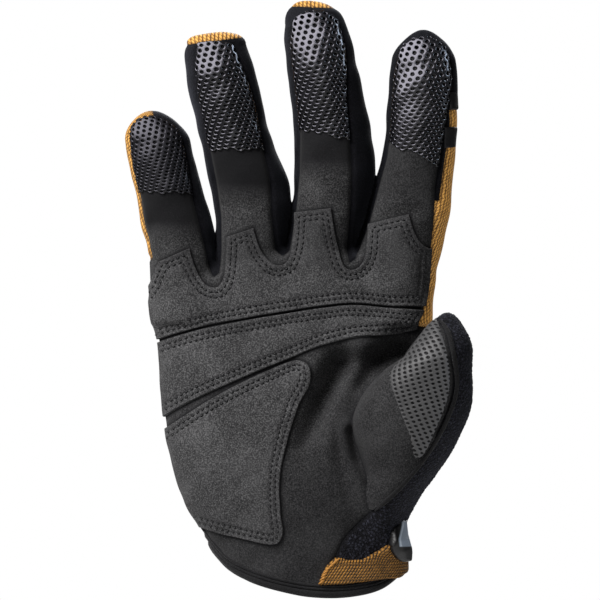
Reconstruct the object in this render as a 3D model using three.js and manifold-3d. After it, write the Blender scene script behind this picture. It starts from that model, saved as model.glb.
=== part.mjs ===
// A right-hand tactical glove, filled as on a hand: palm towards -Y, fingers up, thumb towards +X.
// Millimetres, +Z up. The origin is the middle of the wrist opening, level with its lowest point.
import * as THREE from "three";
import { mergeVertices } from "three/addons/utils/BufferGeometryUtils.js";
import Module from "manifold-3d";

const wasm = await Module();
wasm.setup();

// Thicknesses and clearances
const WALL = 1.8;
const GAP = 0.3;
const PAD_THICKNESS = 1.7;
const HEEL_PAD_THICKNESS = 2.2;
const GRIP_THICKNESS = 0.9;
const STRAP_THICKNESS = 1.5;
const TAB_THICKNESS = 2.4;
const GRIP_INSET = 0.4;
const BAR_THICKNESS = 0.9;
const BINDING_STAND = 0.7;
const BINDING_HEIGHT = 4.0;

// Shape of the sections and how finely they are cut into faces
const HAND_ROUNDNESS = 2.5;
const FINGER_ROUNDNESS = 2.25;
const OUTSIDE = { handSides: 30, fingerSides: 14, rowStep: 12, tipRows: 2 };
const INSIDE = { handSides: 16, fingerSides: 8, rowStep: 34, tipRows: 1 };

// How many straight pieces stand for each kind of curve
const RIM_PARTS = 9;
const SEAM_PARTS = 10;
const EDGE_PARTS = 12;
const PAD_PARTS = 8;
const TAB_PARTS = 4;
const GRIP_PARTS = 14;
const FACE_SHARES = [0, 0.25, 0.5, 0.75, 1];
const CAP_SHARES = [0.25, 0.5, 0.75];
const MIDDLE_SHARES = [0, 0.33, 0.67, 1];

// The fingers bend a little towards the palm above this height
const CURL_START = 112;
const CURL_END = 223;
const CURL = 7;

// The row of knuckles is an arc: the hand's sections rise in the middle by this much
const KNUCKLE_ARC_RISE = 5;
const KNUCKLE_ARC_MIDDLE = 5;
const KNUCKLE_ARC_DROP = 0.0035;
const KNUCKLE_ARC_FROM = 90;
const KNUCKLE_ARC_TO = 125;

// Depth of the seams that run along the sides of the hand and the fingers
const PALM_SEAM_DEPTH = 1;
const PAD_SIDE_DEPTH = -5;
const FINGER_FRONT_SEAM_DEPTH = -4;
const FINGER_BACK_SEAM_DEPTH = 4;
const FAR = 90;
const THUMB_GRIP_DEPTH = -26;
const LOBE_FOOT = 117;
const WEB_FLOOR_DEPTH = 4;

// How far the round corners between the knuckle pad's tabs are drawn out
const CORNER_PULL = 0.55;
const CORNER_LEAN = 0.3;
const VALLEY_PULL = 1.4;
const TAB_SPREAD = 3;
const TAB_FOOT = 8;

// A short table: the names of the columns, then one row for each section, fold or tab
function table(columns, rows) {
  return rows.map((row) => Object.fromEntries(columns.map((name, index) => [name, row[index]])));
}

// Sections of the tubes. The seam columns say how far inside the two edges the palm leather ends.
const HAND_COLUMNS = ["height", "left", "right", "front", "back"];
const HAND = {
  name: "hand",
  roundness: HAND_ROUNDNESS,
  tip: { height: 126, centre: -8, squareness: 2.4 },
  sections: table(HAND_COLUMNS, [
    [-10, -35.0, 31.6, -22.0, 22.5],
    [10, -36.0, 32.0, -22.8, 23.0],
    [20, -39.8, 31.8, -23.6, 23.0],
    [28, -43.8, 32.8, -24.4, 22.6],
    [36, -48.4, 37.4, -25.2, 21.6],
    [46, -52.0, 40.0, -25.4, 20.4],
    [58, -55.0, 42.0, -24.2, 19.2],
    [72, -56.9, 43.0, -21.6, 18.0],
    [88, -57.9, 43.2, -18.8, 17.0],
    [100, -59.6, 43.4, -17.4, 16.2],
    [110, -61.4, 43.6, -16.6, 15.6],
    [119, -61.2, 44.2, -15.4, 14.6],
  ]),
};

const FINGER_COLUMNS = ["height", "left", "right", "front", "back", "leftSeam", "rightSeam"];
const LITTLE = {
  name: "little",
  roundness: FINGER_ROUNDNESS,
  tip: { height: 182.2, centre: -61.3, squareness: 2.2 },
  leatherTop: { height: 180.8, centre: -61.5 },
  gripBottom: { leftHeight: 151.2, rightHeight: 150.4 },
  sections: table(FINGER_COLUMNS, [
    [104, -59.4, -37.5, -13.5, 12.5, 0.6, 1.5],
    [118, -61.6, -36.8, -13.5, 12.4, 0.6, 1.5],
    [128, -62.4, -37.0, -13.0, 12.0, 0.6, 3.0],
    [138, -64.8, -38.0, -12.4, 11.8, 0.6, 4.4],
    [146, -66.4, -40.1, -11.9, 11.5, 0.8, 4.4],
    [154, -67.8, -42.7, -12.2, 11.2, 1.0, 3.6],
    [162, -69.6, -44.7, -11.9, 10.8, 1.2, 2.7],
    [171, -71.2, -46.9, -11.0, 10.0, 1.4, 2.4],
  ]),
};
const RING = {
  name: "ring",
  roundness: FINGER_ROUNDNESS,
  tip: { height: 212.6, centre: -36.5, squareness: 2.8 },
  leatherTop: { height: 208.6, centre: -38.5 },
  gripBottom: { leftHeight: 167.0, rightHeight: 166.6 },
  sections: table(FINGER_COLUMNS, [
    [104, -38.5, -10.5, -15.0, 13.5, 1.2, 1.5],
    [120, -37.5, -10.8, -14.6, 13.2, 1.2, 1.5],
    [132, -37.2, -10.2, -14.0, 12.8, 1.6, 4.4],
    [142, -37.6, -9.0, -13.6, 12.5, 1.4, 7.0],
    [152, -39.0, -9.2, -13.0, 12.2, 1.7, 7.0],
    [160, -40.6, -11.7, -12.6, 12.0, 2.1, 5.4],
    [170, -42.5, -15.8, -12.8, 11.6, 2.1, 3.7],
    [182, -45.8, -19.1, -12.3, 11.0, 2.8, 2.5],
    [194, -48.4, -21.8, -11.5, 10.2, 3.2, 3.8],
    [203, -49.2, -24.2, -10.5, 9.2, 3.7, 5.8],
  ]),
};
const MIDDLE = {
  name: "middle",
  roundness: FINGER_ROUNDNESS,
  tip: { height: 223.3, centre: -1.2, squareness: 2.4 },
  leatherTop: { height: 220.2, centre: 0.5 },
  gripBottom: { leftHeight: 174.8, rightHeight: 170.3 },
  sections: table(FINGER_COLUMNS, [
    [104, -13.0, 15.0, -15.4, 14.0, 1.2, 1.5],
    [120, -12.5, 14.6, -15.0, 13.6, 1.2, 1.5],
    [132, -11.2, 16.0, -14.5, 13.2, 1.4, 3.6],
    [144, -9.0, 19.5, -14.0, 13.0, 1.2, 6.0],
    [154, -7.8, 22.0, -13.5, 12.6, 1.2, 8.1],
    [164, -7.5, 22.4, -12.8, 12.2, 1.2, 8.6],
    [174, -8.0, 21.0, -13.0, 11.8, 1.5, 7.8],
    [186, -9.1, 18.4, -12.5, 11.2, 1.7, 6.4],
    [198, -10.5, 15.8, -11.8, 10.4, 1.7, 3.8],
    [208, -11.3, 13.2, -11.0, 9.6, 1.5, 1.6],
    [214, -11.2, 11.8, -10.1, 8.7, 2.2, 2.4],
  ]),
};
const INDEX = {
  name: "index",
  roundness: FINGER_ROUNDNESS,
  tip: { height: 212.8, centre: 40.5, squareness: 2.1 },
  leatherTop: { height: 210.6, centre: 40.7 },
  gripBottom: { leftHeight: 170.6, rightHeight: 159.4 },
  sections: table(FINGER_COLUMNS, [
    [104, 13.0, 42.8, -15.0, 13.5, 1.5, 2.0],
    [118, 13.0, 44.2, -14.8, 13.4, 1.5, 2.0],
    [128, 14.0, 47.0, -14.5, 13.2, 1.2, 3.4],
    [140, 18.4, 49.5, -14.0, 13.0, 1.2, 4.8],
    [150, 21.0, 51.1, -13.4, 12.7, 1.2, 6.1],
    [160, 23.6, 51.8, -13.0, 12.3, 1.2, 5.6],
    [170, 25.9, 52.2, -12.8, 11.9, 1.2, 4.5],
    [182, 26.6, 52.5, -12.3, 11.2, 1.2, 2.9],
    [194, 27.7, 53.4, -11.5, 10.3, 1.2, 1.9],
    [201, 28.9, 52.7, -10.8, 9.6, 1.3, 1.9],
  ]),
};
const THUMB = {
  name: "thumb",
  roundness: FINGER_ROUNDNESS,
  tip: { height: 106.8, centre: 46.8, squareness: 2.1 },
  sections: table(HAND_COLUMNS, [
    [28, 22.5, 34.0, -22.5, 9.0],
    [38, 20.0, 39.5, -27.5, 11.0],
    [46, 18.0, 45.6, -30.5, 11.0],
    [54, 17.0, 50.8, -33.5, 8.5],
    [62, 17.8, 55.6, -36.5, 4.0],
    [70, 20.2, 58.3, -39.0, -2.0],
    [80, 24.8, 59.3, -41.0, -8.5],
    [90, 30.2, 58.6, -42.0, -14.5],
    [97, 34.8, 57.6, -41.8, -18.5],
  ]),
};
const FINGERS = [LITTLE, RING, MIDDLE, INDEX];
const TUBES = [HAND, THUMB, ...FINGERS];
const PALM_TUBES = [HAND, ...FINGERS];

// Dents and folds of the palm side, pressed in from the front
const FOLD_COLUMNS = ["fromX", "fromZ", "midX", "midZ", "toX", "toZ", "width", "depth"];
const FOLDS = table(FOLD_COLUMNS, [
  [16, 92, 3, 74, -4, 57, 5, 2.6],
  [26, 86, 18, 78, 12, 70, 5, 1.4],
  [-2, 88, -4, 76, 0, 62, 16, 2.4],
]);

// Outlines seen from the palm side, in x and z
const RIM = table(["x", "z"], [
  [-46, 27], [-36.6, 14.6], [-32.2, 10.1], [-23.2, 5.4], [-9, 1.1], [2, 0],
  [14, 0.4], [24, 2.7], [29, 5.8], [34.5, 11.5], [44, 24],
]);
const TERRY_SEAM = table(["x", "z"], [
  [47.2, 112], [48.0, 103], [51.4, 89], [52.1, 80.5], [50.6, 73], [44.3, 59],
  [32.4, 43], [15.9, 27.5], [10.7, 21.5], [6.5, 12],
]);
const TAN_EDGE = table(["x", "z"], [
  [55.0, 185], [51.8, 177], [49.2, 165], [47.3, 152], [45.1, 141.6], [43.6, 128],
  [42.4, 115], [41.0, 108], [36.5, 100],
]);
const TAN_EDGE_WALL_END = 148.5;
const WEBS = table(["x", "z"], [
  [-70, 128], [-37.9, 121.8], [-12.1, 129.8], [13.3, 126.9],
]);
const TABS = table(["leftX", "leftZ", "rightX", "rightZ", "valleyX", "valleyZ"], [
  [-58.1, 125.8, -47.0, 130.8, -37.3, 115.9],
  [-32.7, 135.0, -22.9, 138.4, -13.2, 124.2],
  [-7.1, 144.2, 6.2, 145.8, 13.2, 122.6],
  [20.4, 139.8, 35.3, 143.4, 44.0, 130.5],
]);
const PAD_LOWER_EDGE = table(["x", "z"], [
  [44, 109], [30, 108.9], [14, 110.2], [2.7, 109.2], [-28, 104.2], [-48, 99.9], [-66, 94],
]);
const BAND_UPPER_EDGE = table(["x", "z"], [
  [-66, 92], [-48, 98.4], [-28, 102.7], [2.7, 107.6], [14, 108.8], [30, 107.4], [42, 107],
]);
const BAND_LOWER_EDGE = table(["x", "z"], [
  [38, 100.2], [24, 98.1], [13, 96.9], [5, 95.1], [-13, 88.1], [-28, 81.8], [-48, 72.4], [-66, 61],
]);
const HEEL_PAD_OUTLINE = table(["x", "z"], [
  [-66, 56], [-55.5, 63.4], [-38, 74.8], [-18, 84.8], [-6.5, 88.8], [-2.2, 86.6], [-2.2, 80.6],
  [-6.3, 71.8], [-10.5, 58.5], [-13.2, 43], [-12.8, 32], [-12, 24], [-14.4, 20.3], [-28, 22.4],
  [-42, 26.4], [-60, 33],
]);
const THUMB_GRIP_OUTLINE = table(["x", "z"], [
  [44.4, 103.6], [48.5, 96.5], [50.6, 84], [49.4, 74], [45, 63.4], [40.2, 53.6], [37.6, 52.4],
  [35.2, 61], [31.6, 70.5], [27.6, 80], [31.6, 89], [38.4, 99.5],
]);
const STRAP_OUTLINE = table(["x", "z"], [
  [1.4, 4.6], [3.2, 11], [6.6, 14.8], [18.6, 15], [27, 20], [60, 22], [60, 9.5], [31.5, 8.2],
  [20, 6.2], [11, 5.2],
]);
const STRAP_BACK_OUTLINE = table(["x", "z"], [
  [60, 9.5], [60, 22], [20, 27], [-16, 27], [-16, 11], [20, 9.5],
]);
const TAB_OUTLINE = table(["x", "z"], [
  [27.0, 21.5], [30.5, 25.5], [34, 29], [60, 29], [60, 14], [34, 14.4], [30, 15.2],
]);
const TAB_BACK_OUTLINE = table(["x", "z"], [
  [60, 14], [60, 29], [12, 30], [8, 22], [12, 14],
]);
const RING_TIP_LINE = { leftHeight: 207.6, rightHeight: 210.2 };
const MIDDLE_TIP_LINE = { leftHeight: 221.1, rightHeight: 221.1 };
const INDEX_BARS = table(["name", "left", "bottom", "top"], [
  ["index_bar_upper", 50.6, 182.6, 189.2],
  ["index_bar_lower", 49.0, 168.4, 176.2],
]);
const BAR_BACK_DEPTH = 8;

// The thumb's pieces: how far they reach past its tube, and where its suede and terry end behind
const THUMB_CREASE_REACH = 0.4;
const THUMB_LEATHER_BACK = table(["y", "z"], [
  [-FAR, -10], [-8, -10], [-8, 46], [-20, 80], [-31, 104], [-31, 2 * FAR], [-FAR, 2 * FAR],
]);
const THUMB_FOOT_HEIGHT = 33;
const TERRY_BACK_OUTLINE = table(["x", "z"], [[29, -10], [FAR, -10], [FAR, 70], [36, 70], [30, 46]]);

// Colour, roughness and metalness of each material
const FINISHES = {
  suede: { color: 0x3a3a3b, roughness: 0.92, metalness: 0 },
  spandex: { color: 0x1c1e22, roughness: 0.8, metalness: 0 },
  woven: { color: 0xb07c35, roughness: 0.85, metalness: 0 },
  terry: { color: 0x15171f, roughness: 0.97, metalness: 0 },
  rubber: { color: 0x17171a, roughness: 0.32, metalness: 0 },
  binding: { color: 0x17181c, roughness: 0.85, metalness: 0 },
};

function solidOf(geometry) {
  const plain = geometry.index ? geometry.toNonIndexed() : geometry.clone();
  plain.deleteAttribute("normal");
  plain.deleteAttribute("uv");
  const merged = mergeVertices(plain, 1e-5);
  return new wasm.Manifold(new wasm.Mesh({
    numProp: 3,
    vertProperties: new Float32Array(merged.attributes.position.array),
    triVerts: new Uint32Array(merged.index.array),
  }));
}

function joined(solids) {
  return solids.reduce((sum, solid) => sum.add(solid));
}

// Value of one column at a height, on a smooth curve through the rows
function columnAt(rows, column, height) {
  const last = rows.length - 1;
  const found = rows.findIndex((row) => row.height > height);
  const upper = found < 0 ? last : Math.max(found, 1);
  const [before, low, high, after] = [upper - 2, upper - 1, upper, upper + 1].map(
    (index) => rows[Math.min(Math.max(index, 0), last)],
  );
  const span = high.height - low.height;
  const part = Math.min(Math.max((height - low.height) / span, 0), 1);
  const slopeLow = (high[column] - before[column]) / (high.height - before.height) * span;
  const slopeHigh = (after[column] - low[column]) / (after.height - low.height) * span;
  const square = part * part;
  const cube = square * part;
  return (2 * cube - 3 * square + 1) * low[column] + (cube - 2 * square + part) * slopeLow
    + (3 * square - 2 * cube) * high[column] + (cube - square) * slopeHigh;
}

function sectionAt(rows, height) {
  const section = { height };
  for (const column of ["left", "right", "front", "back"]) {
    section[column] = columnAt(rows, column, height);
  }
  return section;
}

// Sections of a tube from its foot to its rounded tip, each grown outwards by the same amount
function grownSections(tube, grow, detail) {
  const rows = tube.sections;
  const foot = rows[0].height;
  const shoulder = rows[rows.length - 1];
  const steps = Math.ceil((shoulder.height - foot) / detail.rowStep);
  const list = [];
  for (let step = 0; step <= steps; step += 1) {
    list.push(sectionAt(rows, foot + (shoulder.height - foot) * step / steps));
  }
  const rise = tube.tip.height + grow - shoulder.height;
  const middle = (shoulder.left + shoulder.right) / 2;
  for (let step = 1; step <= detail.tipRows; step += 1) {
    const part = Math.sin(step / (detail.tipRows + 0.4) * Math.PI / 2);
    const shrink = (1 - part ** tube.tip.squareness) ** (1 / tube.tip.squareness);
    const shift = (tube.tip.centre - middle) * part;
    const halfWidth = (shoulder.right - shoulder.left) / 2 * shrink;
    const depthMiddle = (shoulder.front + shoulder.back) / 2;
    const halfDepth = (shoulder.back - shoulder.front) / 2 * shrink;
    list.push({
      height: shoulder.height + rise * part,
      left: middle + shift - halfWidth,
      right: middle + shift + halfWidth,
      front: depthMiddle - halfDepth,
      back: depthMiddle + halfDepth,
    });
  }
  return list.map((section) => ({
    height: section.height,
    x: (section.left + section.right) / 2,
    y: (section.front + section.back) / 2,
    halfWidth: Math.max((section.right - section.left) / 2 + grow, 1),
    halfDepth: Math.max((section.back - section.front) / 2 + grow, 1),
  }));
}

function knuckleRise(x, z) {
  const share = THREE.MathUtils.smoothstep(z, KNUCKLE_ARC_FROM, KNUCKLE_ARC_TO);
  return share * (KNUCKLE_ARC_RISE - KNUCKLE_ARC_DROP * (x - KNUCKLE_ARC_MIDDLE) ** 2);
}

function foldDepth(x, z) {
  const point = new THREE.Vector3(x, 0, z);
  const nearest = new THREE.Vector3();
  let depth = 0;
  for (const fold of FOLDS) {
    const from = new THREE.Vector3(fold.fromX, 0, fold.fromZ);
    const mid = new THREE.Vector3(fold.midX, 0, fold.midZ);
    const to = new THREE.Vector3(fold.toX, 0, fold.toZ);
    const distances = [new THREE.Line3(from, mid), new THREE.Line3(mid, to)].map((line) => (
      line.closestPointToPoint(point, true, nearest).distanceTo(point)
    ));
    depth += fold.depth * Math.exp(-((Math.min(...distances) / fold.width) ** 2));
  }
  return depth;
}

// A closed tube through the grown sections
function tubeSolid(tube, grow, detail) {
  const sides = tube === HAND ? detail.handSides : detail.fingerSides;
  const sections = grownSections(tube, grow, detail);
  const positions = [];
  for (const section of sections) {
    for (let side = 0; side < sides; side += 1) {
      const angle = side / sides * Math.PI * 2;
      const power = 2 / tube.roundness;
      const [across, along] = [Math.cos(angle), Math.sin(angle)].map(
        (share) => Math.sign(share) * Math.abs(share) ** power,
      );
      const x = section.x + section.halfWidth * across;
      const reach = section.halfDepth * along;
      const rise = tube === HAND ? knuckleRise(x, section.height) : 0;
      const dent = tube === HAND && along < 0 ? -along * foldDepth(x, section.height) : 0;
      positions.push(x, section.y + reach + dent, section.height + rise);
    }
  }
  const faces = [];
  for (let row = 0; row + 1 < sections.length; row += 1) {
    for (let side = 0; side < sides; side += 1) {
      const next = (side + 1) % sides;
      const [a, b] = [row * sides + side, row * sides + next];
      faces.push(a, b, b + sides, a, b + sides, a + sides);
    }
  }
  const top = (sections.length - 1) * sides;
  for (let side = 1; side + 1 < sides; side += 1) {
    faces.push(0, side + 1, side);
    faces.push(top, top + side, top + side + 1);
  }
  const geometry = new THREE.BufferGeometry();
  geometry.setAttribute("position", new THREE.Float32BufferAttribute(positions, 3));
  geometry.setIndex(faces);
  return solidOf(geometry);
}

const layerCache = new Map();

// Everything inside the glove's outer surface moved outwards by `grow`, negative for inwards
function layer(grow, detail = OUTSIDE, tubes = TUBES) {
  const key = `${grow} ${detail.rowStep} ${tubes.map((tube) => tube.name).join()}`;
  if (!layerCache.has(key)) {
    layerCache.set(key, joined(tubes.map((tube) => tubeSolid(tube, grow, detail))));
  }
  return layerCache.get(key);
}

// An outline in x and z, pushed through the depths from `near` to `far`
function prism(outline, near = -FAR, far = FAR) {
  const shape = new THREE.Shape(outline.map((point) => new THREE.Vector2(point.x, point.z)));
  const geometry = new THREE.ExtrudeGeometry(shape, { depth: far - near, bevelEnabled: false });
  geometry.rotateX(Math.PI / 2);
  geometry.translate(0, far, 0);
  return solidOf(geometry);
}

// An outline in y and z, pushed through the whole width
function sidePrism(outline) {
  const shape = new THREE.Shape(outline.map((point) => new THREE.Vector2(point.y, point.z)));
  const geometry = new THREE.ExtrudeGeometry(shape, { depth: 2 * FAR, bevelEnabled: false });
  geometry.rotateX(Math.PI / 2);
  geometry.rotateZ(Math.PI / 2);
  geometry.translate(-FAR, 0, 0);
  return solidOf(geometry);
}

function signedArea(outline) {
  return outline.reduce((sum, point, index) => {
    const next = outline[(index + 1) % outline.length];
    return sum + (point.x * next.z - next.x * point.z) / 2;
  }, 0);
}

// The outline moved outwards by a distance, corner by corner
function widened(outline, distance) {
  const turn = Math.sign(signedArea(outline));
  const count = outline.length;
  return outline.map((point, index) => {
    const before = outline[(index + count - 1) % count];
    const after = outline[(index + 1) % count];
    const inward = new THREE.Vector2(point.x - before.x, point.z - before.z).normalize();
    const outward = new THREE.Vector2(after.x - point.x, after.z - point.z).normalize();
    const normal = new THREE.Vector2(inward.y + outward.y, -inward.x - outward.x).normalize();
    const stretch = 1 / Math.max(normal.dot(new THREE.Vector2(inward.y, -inward.x)), 0.5);
    return {
      x: point.x + normal.x * distance * stretch * turn,
      z: point.z + normal.y * distance * stretch * turn,
    };
  });
}

// Points of a smooth curve through a few given ones
function smooth(points, divisions, closed = false) {
  const curve = new THREE.CatmullRomCurve3(
    points.map((point) => new THREE.Vector3(point.x, 0, point.z)), closed, "centripetal",
  );
  const list = curve.getPoints(divisions).map((point) => ({ x: point.x, z: point.z }));
  return closed ? list.slice(0, -1) : list;
}

// The line along the bottom of the glove, raised by a height
function aboveRim(height) {
  const line = smooth(RIM, RIM_PARTS).map((point) => ({ x: point.x, z: point.z + height }));
  return prism([
    ...line,
    { x: FAR, z: line.at(-1).z },
    { x: FAR, z: 3 * FAR },
    { x: -FAR, z: 3 * FAR },
    { x: -FAR, z: line[0].z },
  ]);
}

// The palm side of a finger between its two seams, from a slanted foot line to its rounded top
function fingerFace(finger, inset, leftFoot, rightFoot, topHeight) {
  const shoulder = finger.sections.at(-1);
  const edge = (side, height) => {
    const turn = side === "left" ? 1 : -1;
    const seam = columnAt(finger.sections, `${side}Seam`, height);
    return { x: columnAt(finger.sections, side, height) + turn * (seam + inset), z: height };
  };
  const climb = (side, foot) => FACE_SHARES.map(
    (share) => edge(side, foot + (shoulder.height - foot) * share),
  );
  const [left, right] = [edge("left", shoulder.height), edge("right", shoulder.height)];
  const middle = (left.x + right.x) / 2;
  const cap = CAP_SHARES.map((share) => {
    const angle = Math.PI * (1 - share);
    const lift = Math.sin(angle) ** 0.9;
    return {
      x: middle + (right.x - left.x) / 2 * Math.cos(angle)
        + (finger.leatherTop.centre - middle) * lift,
      z: shoulder.height + (topHeight - shoulder.height) * lift,
    };
  });
  return [...climb("left", leftFoot), ...cap, ...climb("right", rightFoot).reverse()];
}

function middleLine(finger, foot) {
  const length = finger.sections.at(-1).height - foot;
  const heights = MIDDLE_SHARES.map((share) => foot + length * share);
  const line = heights.map((height) => {
    const section = sectionAt(finger.sections, height);
    return { x: (section.left + section.right) / 2, z: height };
  });
  return [...line, { x: finger.tip.centre, z: finger.tip.height + WALL }];
}

// Parts of the surface, each as the solid that cuts it out and the same solid grown by the seam's gap
function region(outline, near, far) {
  return { own: prism(outline, near, far), kerf: prism(widened(outline, GAP), near - GAP, far + GAP) };
}

function unite(regions) {
  return { own: joined(regions.map((one) => one.own)), kerf: joined(regions.map((one) => one.kerf)) };
}

function without(one, others) {
  return {
    own: others.reduce((solid, other) => solid.subtract(other.kerf), one.own),
    kerf: others.reduce((solid, other) => solid.subtract(other.own), one.kerf),
  };
}

// The largest single body of a solid: cutting can leave crumbs along a seam
function mainBody(solid) {
  return solid.decompose().reduce((best, one) => (one.volume() > best.volume() ? one : best));
}

const skin = layer(0).subtract(layer(-WALL, INSIDE)).intersect(aboveRim(BINDING_HEIGHT + GAP));

// The thumb is everything inside its own tube, cut along the crease at its foot
function thumbRegion() {
  const zone = (extra) => tubeSolid(THUMB, THUMB_CREASE_REACH + extra, OUTSIDE).intersect(
    prism([
      { x: -FAR, z: THUMB_FOOT_HEIGHT - extra }, { x: FAR, z: THUMB_FOOT_HEIGHT - extra },
      { x: FAR, z: 2 * FAR }, { x: -FAR, z: 2 * FAR },
    ]),
  );
  return { own: zone(0), kerf: zone(GAP) };
}

function thumbFrontRegion() {
  const seam = smooth(TERRY_SEAM, SEAM_PARTS);
  const left = region([...seam, { x: -FAR, z: 12 }, { x: -FAR, z: 112 }], -FAR, FAR);
  const shift = (distance) => THUMB_LEATHER_BACK.map(
    (point) => ({ y: point.y + distance, z: point.z }),
  );
  const whole = thumbRegion();
  return {
    own: whole.own.intersect(left.own).intersect(sidePrism(shift(0))),
    kerf: whole.kerf.intersect(left.kerf).intersect(sidePrism(shift(GAP))),
  };
}

function thumbBackRegion() {
  const corner = smooth(TERRY_SEAM, SEAM_PARTS).filter((point) => point.z < 56);
  const front = region(
    [...corner, { x: 6.5, z: -10 }, { x: FAR, z: -10 }, { x: FAR, z: 56 }], -FAR, 0,
  );
  const back = region(TERRY_BACK_OUTLINE, 0, FAR);
  return without(unite([thumbRegion(), front, back]), [thumbFrontRegion()]);
}

function tipCap(line, finger) {
  const shoulder = finger.sections.at(-1);
  return region([
    { x: shoulder.left - WALL, z: line.leftHeight }, { x: shoulder.right + WALL, z: line.rightHeight },
    { x: shoulder.right + WALL, z: 3 * FAR }, { x: shoulder.left - WALL, z: 3 * FAR },
  ], -FAR, FAR);
}

function palmRegion(tips) {
  const edge = smooth(TAN_EDGE, EDGE_PARTS).filter((point) => point.z < 127.5);
  const palm = region([
    ...WEBS, ...edge, { x: 47, z: 90 }, { x: 47, z: -10 }, { x: -FAR, z: -10 },
    { x: -FAR, z: WEBS[0].z },
  ], -FAR, PALM_SEAM_DEPTH);
  const lobes = FINGERS.map((finger) => {
    const outline = fingerFace(finger, 0, LOBE_FOOT, LOBE_FOOT, finger.leatherTop.height);
    return region(outline, -FAR, FINGER_FRONT_SEAM_DEPTH);
  });
  return without(unite([palm, ...lobes]), tips);
}

function fourchetteRegion(left, right, web) {
  const foot = web.z - WEB_FLOOR_DEPTH;
  const outline = [...middleLine(left, foot), ...middleLine(right, foot).reverse()];
  return region(outline, -FAR, FINGER_BACK_SEAM_DEPTH);
}

function indexWallRegion() {
  const edge = smooth(TAN_EDGE, EDGE_PARTS).filter((point) => point.z > TAN_EDGE_WALL_END);
  const above = 2.5 * FAR;
  return region([
    ...middleLine(INDEX, TAN_EDGE_WALL_END), { x: INDEX.tip.centre, z: above }, { x: FAR, z: above },
    { x: FAR, z: edge[0].z }, ...edge, { x: edge.at(-1).x, z: TAN_EDGE_WALL_END },
  ], -FAR, FINGER_BACK_SEAM_DEPTH);
}

// An overlay sewn on the surface: a sheet of one thickness inside an outline
function overlay(cut, lift, thickness, tubes) {
  const top = layer(lift + thickness, OUTSIDE, tubes);
  return top.subtract(layer(lift, OUTSIDE, tubes)).intersect(cut);
}

// Four tabs with a round valley between each pair
function knucklePadOutline() {
  const shape = new THREE.Shape();
  shape.moveTo(PAD_LOWER_EDGE.at(-1).x, TABS[0].leftZ - 2 * TAB_FOOT);
  shape.lineTo(TABS[0].leftX - TAB_SPREAD, TABS[0].leftZ - TAB_FOOT);
  TABS.forEach((tab, index) => {
    shape.lineTo(tab.leftX, tab.leftZ);
    shape.lineTo(tab.rightX, tab.rightZ);
    const drop = (tab.rightZ - tab.valleyZ) * CORNER_PULL;
    const reach = (tab.valleyX - tab.rightX) * CORNER_PULL;
    shape.bezierCurveTo(
      tab.rightX + reach * CORNER_LEAN, tab.rightZ - drop,
      tab.valleyX - reach, tab.valleyZ,
      tab.valleyX, tab.valleyZ,
    );
    const next = TABS[index + 1];
    if (next) {
      const climb = (next.leftZ - tab.valleyZ) * CORNER_PULL;
      const span = (next.leftX - tab.valleyX) * CORNER_PULL;
      shape.bezierCurveTo(
        tab.valleyX + span * VALLEY_PULL, tab.valleyZ,
        next.leftX, next.leftZ - climb,
        next.leftX, next.leftZ,
      );
    }
  });
  const upper = shape.getPoints(TAB_PARTS).map((point) => ({ x: point.x, z: point.y }));
  return [...upper, ...smooth(PAD_LOWER_EDGE, PAD_PARTS)];
}

function padSolid(outline, thickness) {
  const thumb = tubeSolid(THUMB, THUMB_CREASE_REACH + GAP, OUTSIDE);
  const cut = prism(outline, -FAR, PAD_SIDE_DEPTH).intersect(aboveRim(BINDING_HEIGHT + 2 * GAP));
  return overlay(cut, GAP, thickness, PALM_TUBES).subtract(thumb);
}

function gripSolid(finger) {
  const { leftHeight, rightHeight } = finger.gripBottom;
  const top = finger.leatherTop.height - GRIP_INSET;
  const outline = fingerFace(finger, GRIP_INSET, leftHeight, rightHeight, top);
  return overlay(prism(outline, -FAR, FINGER_FRONT_SEAM_DEPTH), GAP, GRIP_THICKNESS, [finger]);
}

function thumbGripSolid() {
  const outline = smooth(THUMB_GRIP_OUTLINE, GRIP_PARTS, true);
  return overlay(prism(outline, -FAR, THUMB_GRIP_DEPTH), GAP, GRIP_THICKNESS, [THUMB]);
}

function bindingSolid(extra) {
  const band = aboveRim(0).subtract(aboveRim(BINDING_HEIGHT + extra));
  const outside = layer(BINDING_STAND + extra);
  const inside = layer(-WALL - BINDING_STAND, INSIDE);
  return outside.subtract(inside).intersect(band);
}

function wrapCut(frontOutline, backOutline) {
  return prism(frontOutline, -FAR, 0).add(prism(backOutline, 0, FAR));
}

function barSolid(bar) {
  const outline = [
    { x: bar.left, z: bar.bottom },
    { x: FAR, z: bar.bottom },
    { x: FAR, z: bar.top },
    { x: bar.left, z: bar.top },
  ];
  return overlay(prism(outline, -FAR, BAR_BACK_DEPTH), GAP, BAR_THICKNESS, [INDEX]);
}

const glove = new THREE.Group();
glove.name = "tactical_glove";

function curled(x, y, z) {
  const share = Math.max(z - CURL_START, 0) / (CURL_END - CURL_START);
  return y - CURL * share * share;
}

function addPiece(name, solid, finish) {
  const mesh = mainBody(solid).getMesh();
  const positions = Array.from(mesh.vertProperties);
  for (let index = 0; index < positions.length; index += 3) {
    const [x, y, z] = positions.slice(index, index + 3);
    positions[index + 1] = curled(x, y, z);
  }
  const geometry = new THREE.BufferGeometry();
  geometry.setAttribute("position", new THREE.Float32BufferAttribute(positions, 3));
  geometry.setIndex(Array.from(mesh.triVerts));
  const piece = new THREE.Mesh(geometry, new THREE.MeshStandardMaterial(FINISHES[finish]));
  piece.name = name;
  glove.add(piece);
}

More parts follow.
